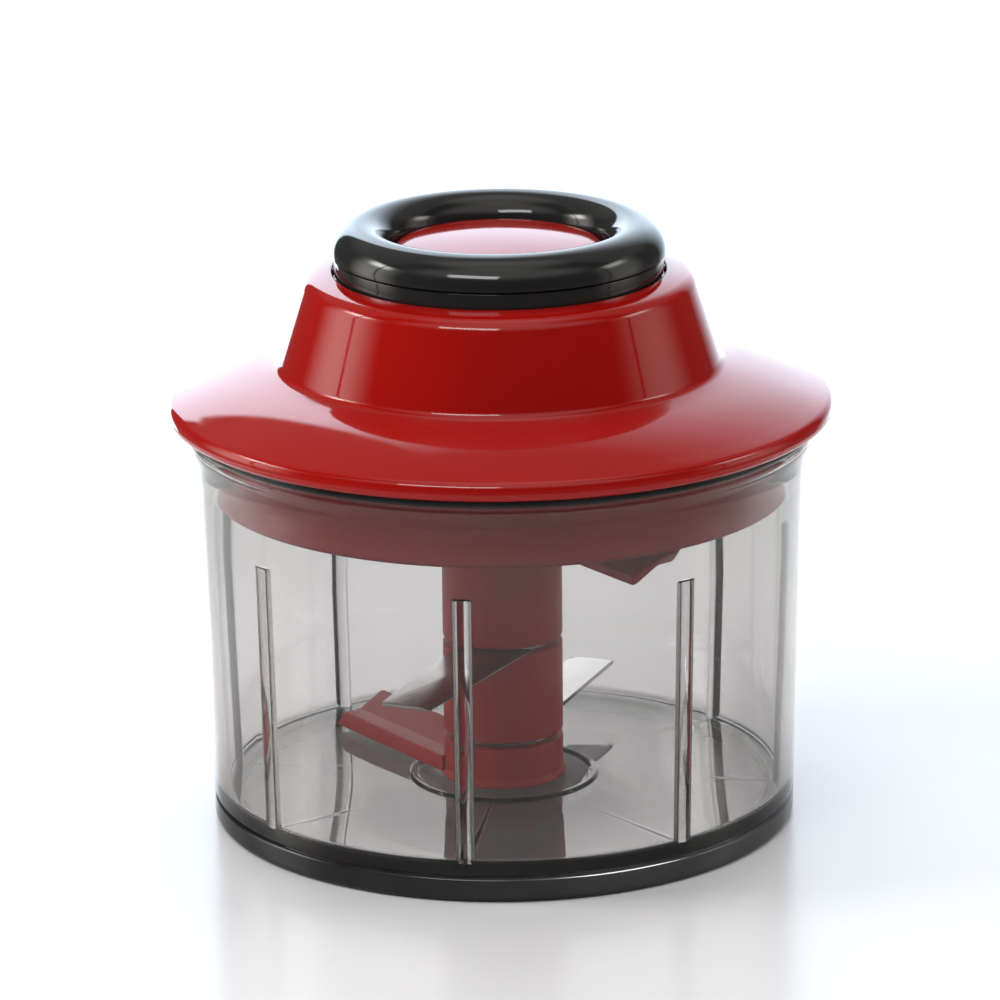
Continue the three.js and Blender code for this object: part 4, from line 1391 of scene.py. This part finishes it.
@dataclass
class Lid:
    """The red cover, its insert with screws, the seal and the dome cap."""

    seat_radius: float = 33.3
    deck_height: float = 112.9
    brim_radius: float = 66.5
    brim_root: tuple[float, float] = (46.6, 93.3)
    brim_fall: tuple[float, float] = (18.3, 5.8)
    brim_rise: float = 0.46
    lip: float = 83.5
    deck_under: float = 108.7
    screw_circle: float = 49.0
    screw_first: float = 45.0

    @property
    def screws(self) -> list[np.ndarray]:
        """The middles of the four lid screws.

        Returns:
            The places, in order.
        """
        return around(self.screw_circle, 4, self.screw_first)

    def brim_bow(self) -> list[tuple[float, float, float]]:
        """The brim's top between root and crest: a chord with a bow of b * 4 s (1 - s) over its share s.

        Returns:
            Radius, height and no fillet at each point.
        """
        share = np.linspace(0, 1, 15)[1:-1]
        radius = self.brim_root[0] + self.brim_fall[0] * share
        height = self.brim_root[1] - self.brim_fall[1] * share + self.brim_rise * 4 * share * (1 - share)
        return [(float(r), float(z), 0.0) for r, z in zip(radius, height)]

    def cover(self) -> None:
        """Makes the cover: a turned shell with posts and lugs below, and the cord's hole."""
        outline = [
            (0, SEAT_FLOOR, 0),
            (self.seat_radius, SEAT_FLOOR, 0.5),
            (self.seat_radius, self.deck_height, 0.35),
            (38.74, 111.66, 3.2),
            (44.38, 94.0, 2.2),
            *self.brim_bow(),
            (self.brim_radius, 86.99, 1.8),
            (self.brim_radius, self.lip, 1.5),
            (62.7, self.lip, 0.4),
            (62.4, 85.6, 0.6),
            (46.3, 90.8, 2.0),
            (41.8, 94.9, 2.0),
            (37.1, self.deck_under, 1.5),
            (6.5, self.deck_under, 0.6),
            (6.5, 93.0, 0.3),
            (3.3, 93.0, 0.2),
            (3.3, 107.3, 0),
            (0, 107.3, 0),
        ]
        reel = Reel()
        posts = rods(3.4, 73.3, 90.6, self.screws) + reel.lugs()
        holes = rods(1.6, 72.0, 83.4, self.screws) + rods(2.4, self.deck_under - 1, SEAT_FLOOR + 1, [CORD_PLACE])
        cuts = [(Cut.JOIN, posts), (Cut.REMOVE, [*holes, reel.across(1.3, 5.5)])]
        make_piece("red_cover", turned(outline, WIDE_SEGMENTS), RED, Body.LID, "lid_cover", *cuts)

    def plug(self) -> None:
        """Makes the insert with its bosses and counterbores, and its screws."""
        outline = [
            (10.6, 67.8, 0.3),
            (57.0, 67.8, 1.3),
            (57.6, self.lip, 0.3),
            (62.0, self.lip, 0.3),
            (62.0, 85.2, 0.3),
            (55.7, 85.2, 0.3),
            (55.1, 69.8, 1.0),
            (10.6, 69.8, 0.3),
        ]
        cuts = [
            (Cut.JOIN, rods(5.0, 69.0, 73.0, self.screws)),
            (Cut.REMOVE, rods(3.4, 66.8, 70.4, self.screws)),
            (Cut.REMOVE, rods(1.6, 70.0, 74.0, self.screws)),
        ]
        make_piece("red_insert", turned(outline, WIDE_SEGMENTS), RED_SATIN, Body.LID, "lid_insert", *cuts)
        screw = [(0, 68.4, 0), (3.1, 68.4, 0.7), (3.1, 70.1, 0.2), (1.3, 70.1, 0), (1.3, 83.1, 0.4), (0, 83.1, 0)]
        recess = prism(cross_outline(1.7, 0.42), 67.4, 69.4)
        make_screws(("cover_screw", "lid_screw"), Body.LID, screw, recess, self.screws, twist=17.0)

    def build(self) -> None:
        """Makes the lid's pieces."""
        self.cover()
        self.plug()
        gasket = [
            (60.8, 82.25, 0.2),
            (63.0, 82.25, 0.1),
            (63.0, 81.75, 0.1),
            (63.9, 81.75, 0.3),
            (63.9, 83.2, 0.35),
            (60.8, 83.2, 0.2),
        ]
        make_piece("lid_gasket", turned(gasket, WIDE_SEGMENTS), RUBBER, Body.LID, "lid_seal")
        make_piece("red_dome", lathe(self.dome(), MIDDLE_SEGMENTS), RED, Body.LID, "dome_cap")
        bush = [
            (8.9, 67.8, 0.3),
            (10.3, 67.8, 0.3),
            (10.3, 70.1, 0),
            (13.0, 70.1, 0.2),
            (13.0, 71.3, 0.3),
            (8.9, 71.3, 0.3),
        ]
        make_piece("drive_bush", turned(bush, MIDDLE_SEGMENTS), RUBBER, Body.LID, "socket_bush")

    def dome(self) -> np.ndarray:
        """The dome cap's outline: z = crown - (R - sqrt(R^2 - r^2)) on top, a rounded edge, and a wall below.

        Returns:
            Radius and height, one row a point.
        """
        crown, sphere, wall = 119.3, 165.0, 1.3
        radius = np.linspace(19.1, 0, 18)
        top = crown - (sphere - np.sqrt(sphere**2 - radius**2))
        outside = [(20.9, 111.2, 0.2), (20.9, 117.63, 2.4)]
        cap = [(float(r), float(z), 0) for r, z in zip(radius[1:], top[1:])]
        under = [(0, crown - wall, 0), (17.2, 115.9, 1.0), (18.8, 115.0, 1.0), (18.8, 111.2, 0.2)]
        points = rounded(outside + cap + under, closed=True)
        start = int(np.argmin(np.abs(points[:, 0]) + np.abs(points[:, 1] - crown + wall)))
        return np.roll(points, -start, 0)


@dataclass
class Reel:
    """What the lid hides: the cord drum, its spring and axle, the drive socket, and the cord's way out."""

    wind_radius: float = 17.05
    wind_bottom: float = 78.7
    pitch: float = 2.3
    loops: int = 4
    bend: float = 5.0
    lug_spread: float = 3.0
    lug_reach: tuple[float, float] = (1.0, 2.2)
    lug_drop: float = 2.0
    lug_top: float = 109.8
    wound_gap: float = 0.3
    spring_radii: tuple[float, float] = (6.2, 12.65)
    spring_turns: int = 5
    spring_middle: float = 83.5

    @property
    def leave_angle(self) -> float:
        """The direction of the point where the cord leaves the drum.

        Returns:
            Degrees from +X.
        """
        return 90.0 - math.degrees(math.acos(self.wind_radius / PULL_RADIUS))

    @property
    def leave_height(self) -> float:
        """The height at which the cord leaves the drum.

        Returns:
            The height.
        """
        return self.wind_bottom + self.pitch * self.loops

    @property
    def heading(self) -> np.ndarray:
        """The way the cord goes as it leaves.

        Returns:
            A direction of length 1.
        """
        return on_circle(1.0, self.leave_angle + 90.0)

    @property
    def guide_place(self) -> np.ndarray:
        """The middle of the cord guide.

        Returns:
            The point as x, y, z.
        """
        place = CORD_PLACE - self.bend * self.heading
        return place + np.array([0, 0, self.leave_height + self.bend])

    def across(self, radius: float, half_length: float) -> Surface:
        """A rod along the guide's axis, through its middle.

        Args:
            radius: its radius.
            half_length: half its length.

        Returns:
            The closed surface.
        """
        return self.laid(rod(radius, -half_length, half_length, 0.1))

    def laid(self, surface: Surface) -> Surface:
        """Lays an upright shape along the guide's axis.

        Args:
            surface: a shape about +Z.

        Returns:
            The shape in place.
        """
        over = np.array([[0.0, 0.0, 1.0], [0.0, 1.0, 0.0], [-1.0, 0.0, 0.0]])
        return surface.moved(self.guide_place, about_z(self.leave_angle) @ over)

    def lugs(self) -> list[Surface]:
        """The two lugs that hold the guide's pin.

        Returns:
            The closed surfaces.
        """
        across, along = self.lug_reach
        half = np.array([[-across, -along], [across, -along], [across, along], [-across, along]])
        axis, turn = on_circle(1.0, self.leave_angle), about_z(self.leave_angle)
        flat = self.guide_place * np.array([1, 1, 0])
        lug = prism(half, self.guide_place[2] - self.lug_drop, self.lug_top)
        return [lug.moved(flat + axis * side * self.lug_spread, turn) for side in (-1, 1)]

    def winding_path(self) -> np.ndarray:
        """The turns on the drum: a helix of even pitch with a short straight tail at each end.

        Returns:
            The path's points.
        """
        share = np.linspace(0, 1, self.loops * 72 + 1)
        angle = np.radians(self.leave_angle - 360.0 * self.loops * (1 - share))
        height = self.wind_bottom + self.pitch * self.loops * share
        helix = np.stack([self.wind_radius * np.cos(angle), self.wind_radius * np.sin(angle), height], 1)
        tail = 2 * CORD_RADIUS * self.heading
        return np.concatenate([helix[:1] - tail, helix, helix[-1:] + tail])

    def lead_path(self) -> np.ndarray:
        """The cord from beside the drum, level, over the guide in a quarter turn, and up to the seat.

        The tail of the turns sweeps a circle as the drum turns, and the lead's inner side starts a gap outside it.

        Returns:
            The path's points.
        """
        inner, outer = self.wind_radius - CORD_RADIUS, self.wind_radius + CORD_RADIUS
        gap = math.sqrt((math.hypot(outer, 2 * CORD_RADIUS) + self.wound_gap) ** 2 - inner**2)
        start = on_circle(self.wind_radius, self.leave_angle, self.leave_height) + gap * self.heading
        turn = np.linspace(0, np.pi / 2, 16)[:, None]
        corner = self.guide_place - np.array([0, 0, self.bend])
        curve = corner + self.bend * (np.sin(turn) * self.heading + (1 - np.cos(turn)) * np.array([0, 0, 1.0]))
        level = start + np.linspace(0, 1, 8, endpoint=False)[:, None] * (curve[0] - start)
        rise = curve[-1] + np.linspace(0, 1, 12)[1:, None] * (CORD_PLACE + [0, 0, SEAT_FLOOR] - curve[-1])
        return np.concatenate([level, curve, rise])

    def spring_path(self) -> np.ndarray:
        """The rewind spring's middle line: a level spiral whose radius grows evenly with its angle.

        Returns:
            The path's points.
        """
        first, last = self.spring_radii
        turn = np.linspace(0, self.spring_turns, self.spring_turns * 48 + 1)
        radius, angle = first + (last - first) * turn / self.spring_turns, 2 * np.pi * turn
        return np.stack([radius * np.cos(angle), radius * np.sin(angle), np.full(len(turn), self.spring_middle)], 1)

    def wound(self) -> None:
        """Makes the pieces that turn with the drum."""
        drum = [
            (5.0, 76.0, 0.2),
            (19.0, 76.0, 0.4),
            (19.0, 77.5, 0.4),
            (16.0, 77.5, 0.3),
            (16.0, 89.3, 0.3),
            (19.0, 89.3, 0.4),
            (19.0, 90.8, 0.4),
            (14.3, 90.8, 0.15),
            (14.3, 89.6, 0),
            (13.4, 89.6, 0.15),
            (13.4, 80.0, 0.5),
            (5.4, 80.0, 0.5),
            (5.4, 88.0, 0.3),
            (3.3, 88.0, 0.2),
            (3.3, 78.4, 0),
            (5.0, 78.4, 0.2),
        ]
        make_piece("reel_drum", turned(drum, MIDDLE_SEGMENTS), GREY, Body.DRUM, "cord_drum")
        cover = [(3.6, 89.9, 0.15), (14.0, 89.9, 0.15), (14.0, 90.8, 0.25), (3.6, 90.8, 0.25)]
        make_piece("drum_cover", turned(cover, MIDDLE_SEGMENTS), GREY, Body.DRUM, "spring_cover")
        hole = HEX_FLATS / 2
        socket = [
            (0, 74.5, 0),
            (hole, 74.5, 0),
            (hole, 67.1, 0),
            (8.6, 67.1, 0.4),
            (8.6, 73.9, 0.3),
            (12.0, 73.9, 0.3),
            (12.0, 75.7, 0.3),
            (0, 75.7, 0),
        ]
        surface = turned(socket, MIDDLE_SEGMENTS, Hexagon(HEX_FLATS))
        make_piece("hex_socket", surface, GREY, Body.DRUM, "drive_socket")
        strip = rounded([(-0.225, -3.2, 0.1), (0.225, -3.2, 0.1), (0.225, 3.2, 0.1), (-0.225, 3.2, 0.1)], True)
        surface = sweep(self.spring_path(), strip, (0, 0, 1))
        make_piece("spring_strip", surface, TEMPERED, Body.DRUM, "rewind_spring")
        surface = sweep(self.winding_path(), CORD_SECTION, (0, 0, 1))
        make_piece("wound_cord", surface, WHITE_CORD, Body.DRUM, "cord_winding")

    def fixed(self) -> None:
        """Makes the pieces that the lid holds still: the cord's lead, its guide and eyelet, and the drum's axle."""
        surface = sweep(self.lead_path(), CORD_SECTION, on_circle(1.0, self.leave_angle))
        make_piece("guided_cord", surface, WHITE_CORD, Body.LID, "cord_lead")
        guide = [(1.3, -1.7, 0.2), (4.8, -1.7, 0.3), (3.9, 0, 1.6), (4.8, 1.7, 0.3), (1.3, 1.7, 0.2)]
        axle = [(0, 85.7, 0), (1.7, 85.7, 0), (1.7, 78.4, 0.2), (3.0, 78.4, 0.3), (3.0, 107.0, 0.4), (0, 107.0, 0)]
        screw = [(0, 75.85, 0), (3.7, 75.85, 0.5), (3.7, 77.15, 0.2), (1.4, 77.15, 0), (1.4, 85.4, 0.4), (0, 85.4, 0)]
        recess = (Cut.REMOVE, [prism(cross_outline(1.7, 0.42), 75.0, 76.7)])
        washer = [(1.7, 77.45, 0.1), (4.7, 77.45, 0.15), (4.7, 78.1, 0.15), (1.7, 78.1, 0.1)]
        eyelet = [
            (1.4, 107.9, 0.3),
            (2.9, 107.8, 0.2),
            (2.9, 108.4, 0.2),
            (2.1, 108.4, 0),
            (2.1, SEAT_FLOOR, 0.25),
            (1.4, SEAT_FLOOR, 0.3),
        ]
        for name, surface, node, *cuts in (
            ("guide_sleeve", self.laid(turned(guide, SMALL_SEGMENTS)), "cord_guide"),
            ("guide_axle", self.across(1.0, 4.0), "guide_pin"),
            ("drum_axle", turned(axle, SMALL_SEGMENTS), "spindle"),
            ("axle_screw", turned(screw, SMALL_SEGMENTS), "retaining_screw", recess),
            ("axle_washer", turned(washer, SMALL_SEGMENTS), "retaining_washer"),
            ("cord_grommet", turned(eyelet, SMALL_SEGMENTS).moved(CORD_PLACE), "cord_eyelet"),
        ):
            make_piece(name, surface, BRIGHT, Body.LID, node, *cuts)

    def build(self) -> None:
        """Makes the reel's pieces."""
        self.wound()
        self.fixed()


@dataclass
class PullRing:
    """The black pull ring in two shells, with its screws and the cord's knot."""

    tube: float = 6.0
    tube_radius: float = 27.45
    middle: float = 116.3
    parting: float = 116.1
    seam_step: float = 0.17
    seam_turn: float = 0.035
    waist: float = 5.4
    base_bottom: float = 111.3
    base_top: float = 115.8
    channel: float = 3.2
    channel_roof: float = 119.6
    channel_floor: float = 113.5
    post_radius: float = 2.6
    travel: float = 360.0
    cord_bottom: float = 111.2
    knot_height: float = 115.6

    @property
    def screws(self) -> list[np.ndarray]:
        """The middles of the three ring screws.

        Returns:
            The places, in order.
        """
        return around(PULL_RADIUS, 3, 30.0)

    def shells(self) -> None:
        """Makes the upper shell, a tube's upper part with a channel, and the lower shell that closes it."""
        inner, outer, roof = PULL_RADIUS - self.channel, PULL_RADIUS + self.channel, self.channel_roof
        start = -math.asin((self.middle - self.parting) / self.tube) + self.seam_turn
        angle = np.linspace(start, math.pi - start, 49)
        tube = [
            (self.tube_radius + self.tube * math.cos(a), self.middle + self.tube * math.sin(a), 0) for a in angle
        ]
        edge = math.sqrt(self.tube**2 - (self.middle - self.parting) ** 2) - self.seam_step
        outline = [
            (self.tube_radius + edge, self.parting, 0),
            *tube,
            (self.tube_radius - edge, self.parting, 0),
            (inner, self.parting, 0.1),
            (inner, roof, 0.5),
            (outer, roof, 0.5),
            (outer, self.parting, 0.1),
        ]
        cuts = [
            (Cut.JOIN, rods(self.post_radius, self.parting, roof + 0.8, self.screws)),
            (Cut.REMOVE, rods(1.2, self.parting - 1, 118.6, self.screws)),
        ]
        make_piece("ring_upper_shell", turned(outline, WIDE_SEGMENTS), BLACK, Body.HANDLE, "pull_ring_top", *cuts)
        low, high = self.base_bottom, self.base_top
        near, far = self.tube_radius - self.waist, self.tube_radius + self.waist
        outline = [
            (near + 1, low, 0.5),
            (far - 1, low, 0.5),
            (far, low + 1, 0.8),
            (far, high, 0.3),
            (outer, high, 0.1),
            (outer, self.channel_floor, 0.4),
            (inner, self.channel_floor, 0.4),
            (inner, high, 0.1),
            (near, high, 0.3),
            (near, low + 1, 0.8),
        ]
        cuts = [
            (Cut.JOIN, rods(self.post_radius, 112.4, high, self.screws)),
            (Cut.REMOVE, rods(2.3, 110.3, 113.2, self.screws) + rods(1.5, 110.3, 114.5, [CORD_PLACE])),
            (Cut.REMOVE, rods(1.2, 113.0, 116.5, self.screws)),
        ]
        make_piece("ring_lower_shell", turned(outline, WIDE_SEGMENTS), BLACK, Body.HANDLE, "pull_ring_base", *cuts)

    def build(self) -> None:
        """Makes the ring, its screws, the knot and the stretch of cord below it."""
        self.shells()
        screw = [(0, 111.6, 0), (2.0, 111.6, 0.4), (2.0, 112.9, 0.2), (0.9, 112.9, 0), (0.9, 118.3, 0.3), (0, 118.3, 0)]
        recess = prism(cross_outline(1.2, 0.3), 111.0, 112.3)
        make_screws(("shell_screw", "ring_screw"), Body.HANDLE, screw, recess, self.screws, twist=23.0)
        make_piece("tied_knot", self.knot(), WHITE_CORD, Body.HANDLE, "cord_knot")
        low, high = self.cord_bottom, self.channel_floor
        path = CORD_PLACE + np.array([[0, 0, 1.0]]) * np.linspace(low, high, 241)[:, None]
        cord = sweep(path, CORD_SECTION, on_circle(1.0, 37.2), self.travel / (high - low))
        piece = mesh_object("drawn_cord", cord)
        piece.data.materials.append(WHITE_CORD.material())
        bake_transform(piece)
        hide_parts("pull_cord")
        LOG.info("%s: %d faces between lid and handle", piece.name, len(piece.data.polygons))

    def knot(self) -> Surface:
        """A three-lobed knot: (sin t + 2 sin 2t, cos t - 2 cos 2t, -sin 3t), scaled, with a round section.

        Returns:
            The closed surface, with a UV map along the strand.
        """
        t = np.linspace(0, 2 * np.pi, 120, endpoint=False)
        flat, tall, thick, length = 0.5, 0.85, 0.7, 14.0
        lobes = flat * (np.sin(t) + 2 * np.sin(2 * t)), flat * (np.cos(t) - 2 * np.cos(2 * t)), -tall * np.sin(3 * t)
        path = np.stack(lobes, 1)
        rows = carried(path, np.roll(path, -1, 0) - np.roll(path, 1, 0), circle(thick, 14), (0, 0, 1))
        surface = loft(rows, closed_rows=True, along=np.linspace(0, length, len(t)))
        return surface.moved(CORD_PLACE + [0, 0, self.knot_height])


# Studio


@dataclass
class Studio:
    """The floor, the surround, the lamps and the camera."""

    floor_radius: float = 0.30
    floor_sides: int = 96
    lens: float = 216.0
    distance: float = 1.207
    pitch: float = 16.49
    aim_height: float = 0.0646
    roll: float = 0.6
    sideways: float = -0.00026
    ambient: float = 0.31
    card_level: float = 3.4

    def floor(self) -> None:
        """Makes a pale disc that keeps the shadow and fades into white away from it. Seen in reflections, its front
        part is painted dark grey, a painted shade that stands for the dark camera side.
        """
        sides = self.floor_sides
        ring = circle(self.floor_radius / MM, sides)
        points = np.concatenate([np.column_stack([ring, np.zeros(sides)]), [[0, 0, 0]]])
        k = np.arange(sides)
        fan = np.stack([np.full(sides, sides), k, (k + 1) % sides], 1)
        disc = mesh_object("pale_floor", Surface(points, np.zeros((0, 4), int), fan))
        material = bpy.data.materials.new("pale_floor")
        material.use_nodes = True
        graph = Graph(material.node_tree)
        shader = material.node_tree.nodes["Principled BSDF"]
        place = graph.place()
        mottle = graph.noise(place, 14.0, 2.0)
        # Painted shade: in reflections only, the floor's front part takes the dark grey colour below, standing for the
        # dark camera side.
        mirrored = graph.math("MINIMUM", graph.add("ShaderNodeLightPath").outputs["Glossy Depth"], 1.0)
        depth = graph.add("ShaderNodeSeparateXYZ", {0: place}).outputs[1]
        dim = graph.times(mirrored, graph.span(depth, 0.05, -0.03, smooth=True))
        pale = graph.blend(mottle, (0.94, 0.93, 0.945), (0.97, 0.96, 0.975))
        # The dark grey here is painted shade, not the floor's own colour.
        colour = graph.blend(dim, pale, (0.40, 0.39, 0.385))
        graph.fill(shader, {"Base Color": colour, "Roughness": 0.24, "Specular IOR Level": 0.35})
        away = graph.add("ShaderNodeVectorMath", {0: place}, operation="LENGTH").outputs["Value"]
        path = graph.add("ShaderNodeLightPath")
        seen = graph.math("MAXIMUM", path.outputs["Is Camera Ray"], path.outputs["Is Transmission Ray"])
        white = graph.add("ShaderNodeEmission", {"Color": (1.0, 1.0, 1.0), "Strength": 1.0})
        factor = graph.times(graph.span(away, 0.12, 0.27, smooth=True), seen)
        mix = graph.add("ShaderNodeMixShader", {0: factor, 1: shader.outputs[0], 2: white.outputs[0]})
        graph.put(material.node_tree.nodes["Material Output"].inputs["Surface"], mix.outputs[0])
        disc.data.materials.append(material)

    def side_panel(self, graph: Graph, way: bpy.types.Node, middle: float, seam: float) -> bpy.types.NodeSocket:
        """The brightness of a tall soft panel at one side, as mirrored surfaces see it.

        It is brightest in the middle and fades over a third of a right angle to both sides, has a thin dark seam,
        and is hottest near its top.

        Args:
            graph: the world's nodes.
            way: the node that holds the direction's x, y and z.
            middle: the panel's azimuth in degrees from the camera's side, to the right.
            seam: the seam's azimuth in degrees.

        Returns:
            The panel's brightness, 1 at its middle.
        """
        across, up = way.outputs[0], way.outputs[2]
        azimuth = graph.math("DEGREES", graph.math("ARCTAN2", across, graph.times(way.outputs[1], -1.0)))
        off = graph.math("ABSOLUTE", graph.math("SUBTRACT", azimuth, middle))
        body = graph.span(off, 27.0, 3.0, smooth=True)
        gap = graph.span(graph.math("ABSOLUTE", graph.math("SUBTRACT", azimuth, seam)), 0.4, 1.3)
        high = graph.times(graph.span(up, -0.3, -0.12), graph.span(up, 0.56, 0.50))
        spot = graph.times(graph.span(up, 0.34, 0.45, smooth=True), graph.span(off, 15.0, 5.0))
        return graph.times(body, gap, high, graph.plus(1.0, graph.times(spot, 4.0)))

    def mirrored(self, graph: Graph, way: bpy.types.Node) -> bpy.types.NodeSocket:
        """What mirrored surfaces see of the studio.

        A bright low card stands behind, crisp at its left edge and soft at its right edge and its top. Above it the
        wall is dim, overhead hangs a soft light, and tall panels stand at both sides. The camera's side is dark but
        for a glow high up.

        Args:
            graph: the world's nodes.
            way: the node that holds the direction's x, y and z.

        Returns:
            The light's colour socket.
        """
        across, deep, up = way.outputs
        turn = graph.math("DEGREES", graph.math("ARCTAN2", across, deep))
        height = graph.math("DEGREES", graph.math("ARCSINE", up))
        slant = graph.math("SUBTRACT", height, graph.times(graph.math("MINIMUM", turn, -9.0), 3.3))
        crisp = graph.times(
            graph.span(slant, 86.0, 81.5, smooth=True),
            graph.span(height, 52.0, 36.0),
            graph.span(turn, -13.0, -3.0, 1.0, 0.77, smooth=True),
        )
        soft = graph.times(graph.span(height, 50.0, 14.0, 0.0, 0.78), graph.span(turn, 40.0, 14.0))
        card = graph.times(graph.blend(graph.span(turn, -4.0, 9.0, smooth=True), crisp, soft), self.card_level)
        behind = graph.span(deep, 0.0, 0.15, smooth=True)
        rising = graph.times(graph.span(height, 24.0, 46.0, smooth=True), graph.span(height, 90.0, 62.0))
        rest = graph.plus(
            graph.times(behind, graph.span(up, 0.30, 0.55, 0.03, 0.24, smooth=True)),
            graph.span(up, 0.86, 1.0, 0.0, 0.8, smooth=True),
            graph.span(up, 0.0, -0.2, 0.05, 0.13, smooth=True),
            graph.times(self.side_panel(graph, way, -97.0, -93.0), 2.5),
            graph.times(self.side_panel(graph, way, 93.0, 81.0), 0.95),
            graph.times(rising, graph.span(deep, -0.1, -0.45, 0.0, 0.8, smooth=True)),
        )
        passed = graph.math("MINIMUM", graph.add("ShaderNodeLightPath").outputs["Transmission Depth"], 1.0)
        hue = graph.blend(passed, (0.80, 0.95, 1.10), (1.13, 1.13, 1.14))
        pale = graph.blend(card, (0.0, 0.0, 0.0), hue)
        warm = graph.blend(rest, (0.0, 0.0, 0.0), (1.0, 0.98, 0.93))
        for link in (pale.node, warm.node):
            link.clamp_factor = False
        return graph.add("ShaderNodeVectorMath", {0: pale, 1: warm}, operation="ADD").outputs[0]

    def surround(self) -> None:
        """Makes the world: white to the camera, and a studio's walls to mirrored surfaces.

        Seen through glass it is white too, and brighter above the horizon, where the lit sweep stands.
        """
        world = bpy.data.worlds.new("studio")
        bpy.context.scene.world = world
        world.use_nodes = True
        graph = Graph(world.node_tree)
        way = graph.add("ShaderNodeSeparateXYZ", {0: graph.add("ShaderNodeTexCoord").outputs["Generated"]})
        path = graph.add("ShaderNodeLightPath")
        glossy = graph.math("MINIMUM", path.outputs["Glossy Depth"], 1.0)
        level = graph.blend(glossy, (self.ambient,) * 3, self.mirrored(graph, way))
        above = graph.span(way.outputs[2], 0.0, 0.12, 1.0, 1.5, smooth=True)
        straight = graph.times(path.outputs["Is Transmission Ray"], graph.math("SUBTRACT", 1.0, glossy))
        through = graph.math("MAXIMUM", path.outputs["Is Camera Ray"], graph.times(straight, above))
        keep = graph.math("SUBTRACT", 1.0, graph.math("MINIMUM", through, 1.0))
        kept = graph.add("ShaderNodeVectorMath", {0: level, "Scale": keep}, operation="SCALE").outputs[0]
        seen = graph.add("ShaderNodeCombineXYZ", {0: through, 1: through, 2: through}).outputs[0]
        total = graph.add("ShaderNodeVectorMath", {0: kept, 1: seen}, operation="ADD").outputs[0]
        graph.fill(world.node_tree.nodes["Background"], {"Color": total, "Strength": 1.0})

    def lamp(
        self, name: str, azimuth: float, elevation: float, distance: float, size: tuple[float, float], power: float
    ) -> bpy.types.Object:
        """Makes a rectangular lamp that faces the chopper.

        Args:
            name: its name.
            azimuth: degrees round from the camera's side, to the right.
            elevation: degrees above level.
            distance: metres from the chopper.
            size: width and height in metres.
            power: watts.

        Returns:
            The lamp's object.
        """
        light = bpy.data.lights.new(name, "AREA")
        light.shape, light.size, light.size_y, light.energy = "RECTANGLE", size[0], size[1], power
        lamp = bpy.data.objects.new(name, light)
        a, e = math.radians(azimuth), math.radians(elevation)
        away = Vector((math.sin(a) * math.cos(e), -math.cos(a) * math.cos(e), math.sin(e)))
        lamp.location = Vector((0, 0, 0.07)) + away * distance
        lamp.rotation_euler = away.to_track_quat("Z", "Y").to_euler()
        bpy.context.scene.collection.objects.link(lamp)
        return lamp

    def camera(self) -> None:
        """Makes the camera at the photograph's viewing angle, with its small turn about its own axis."""
        data = bpy.data.cameras.new("view")
        data.lens, data.sensor_width, data.clip_start, data.clip_end = self.lens, 36.0, 0.05, 20.0
        view = bpy.data.objects.new("view", data)
        bpy.context.scene.collection.objects.link(view)
        pitch = math.radians(self.pitch)
        back = Vector((0, -math.cos(pitch), math.sin(pitch)))
        view.location = Vector((self.sideways, 0, self.aim_height)) + back * self.distance
        rolled = Matrix.Rotation(math.radians(-self.roll), 3, "Z")
        view.rotation_euler = (back.to_track_quat("Z", "Y").to_matrix() @ rolled).to_euler()
        bpy.context.scene.camera = view

    def lamps(self) -> None:
        """Makes the lamps. The last one lights only the rubber foot."""
        for name, azimuth, power in (("left_fill", -86.0, 3.4), ("right_fill", 92.0, 1.4)):
            self.lamp(name, azimuth, 22.0, 0.80, (0.30, 0.50), power).visible_glossy = False
        self.lamp("front_strip", -20.0, 43.0, 0.85, (0.44, 0.14), 1.6)
        self.lamp("overhead", 180.0, 68.0, 1.1, (0.8, 0.8), 4.1).visible_glossy = False
        glint = self.lamp("foot_glint", 56.0, 44.0, 0.9, (0.62, 0.45), 24.0)
        lit = bpy.data.collections.new("foot_only")
        lit.objects.link(bpy.data.objects["rubber_foot"])
        glint.light_linking.receiver_collection = lit

    def build(self) -> None:
        """Makes the whole studio."""
        self.camera()
        self.floor()
        self.surround()
        self.lamps()
        bpy.context.scene.view_settings.view_transform = "Standard"


def main() -> None:
    """Builds the chopper and its studio."""
    logging.basicConfig(level=logging.INFO, format="%(name)s %(message)s")
    Base().build()
    BladeColumn().build()
    Lid().build()
    Reel().build()
    PullRing().build()
    Studio().build()


if __name__ == "__main__":
    main()
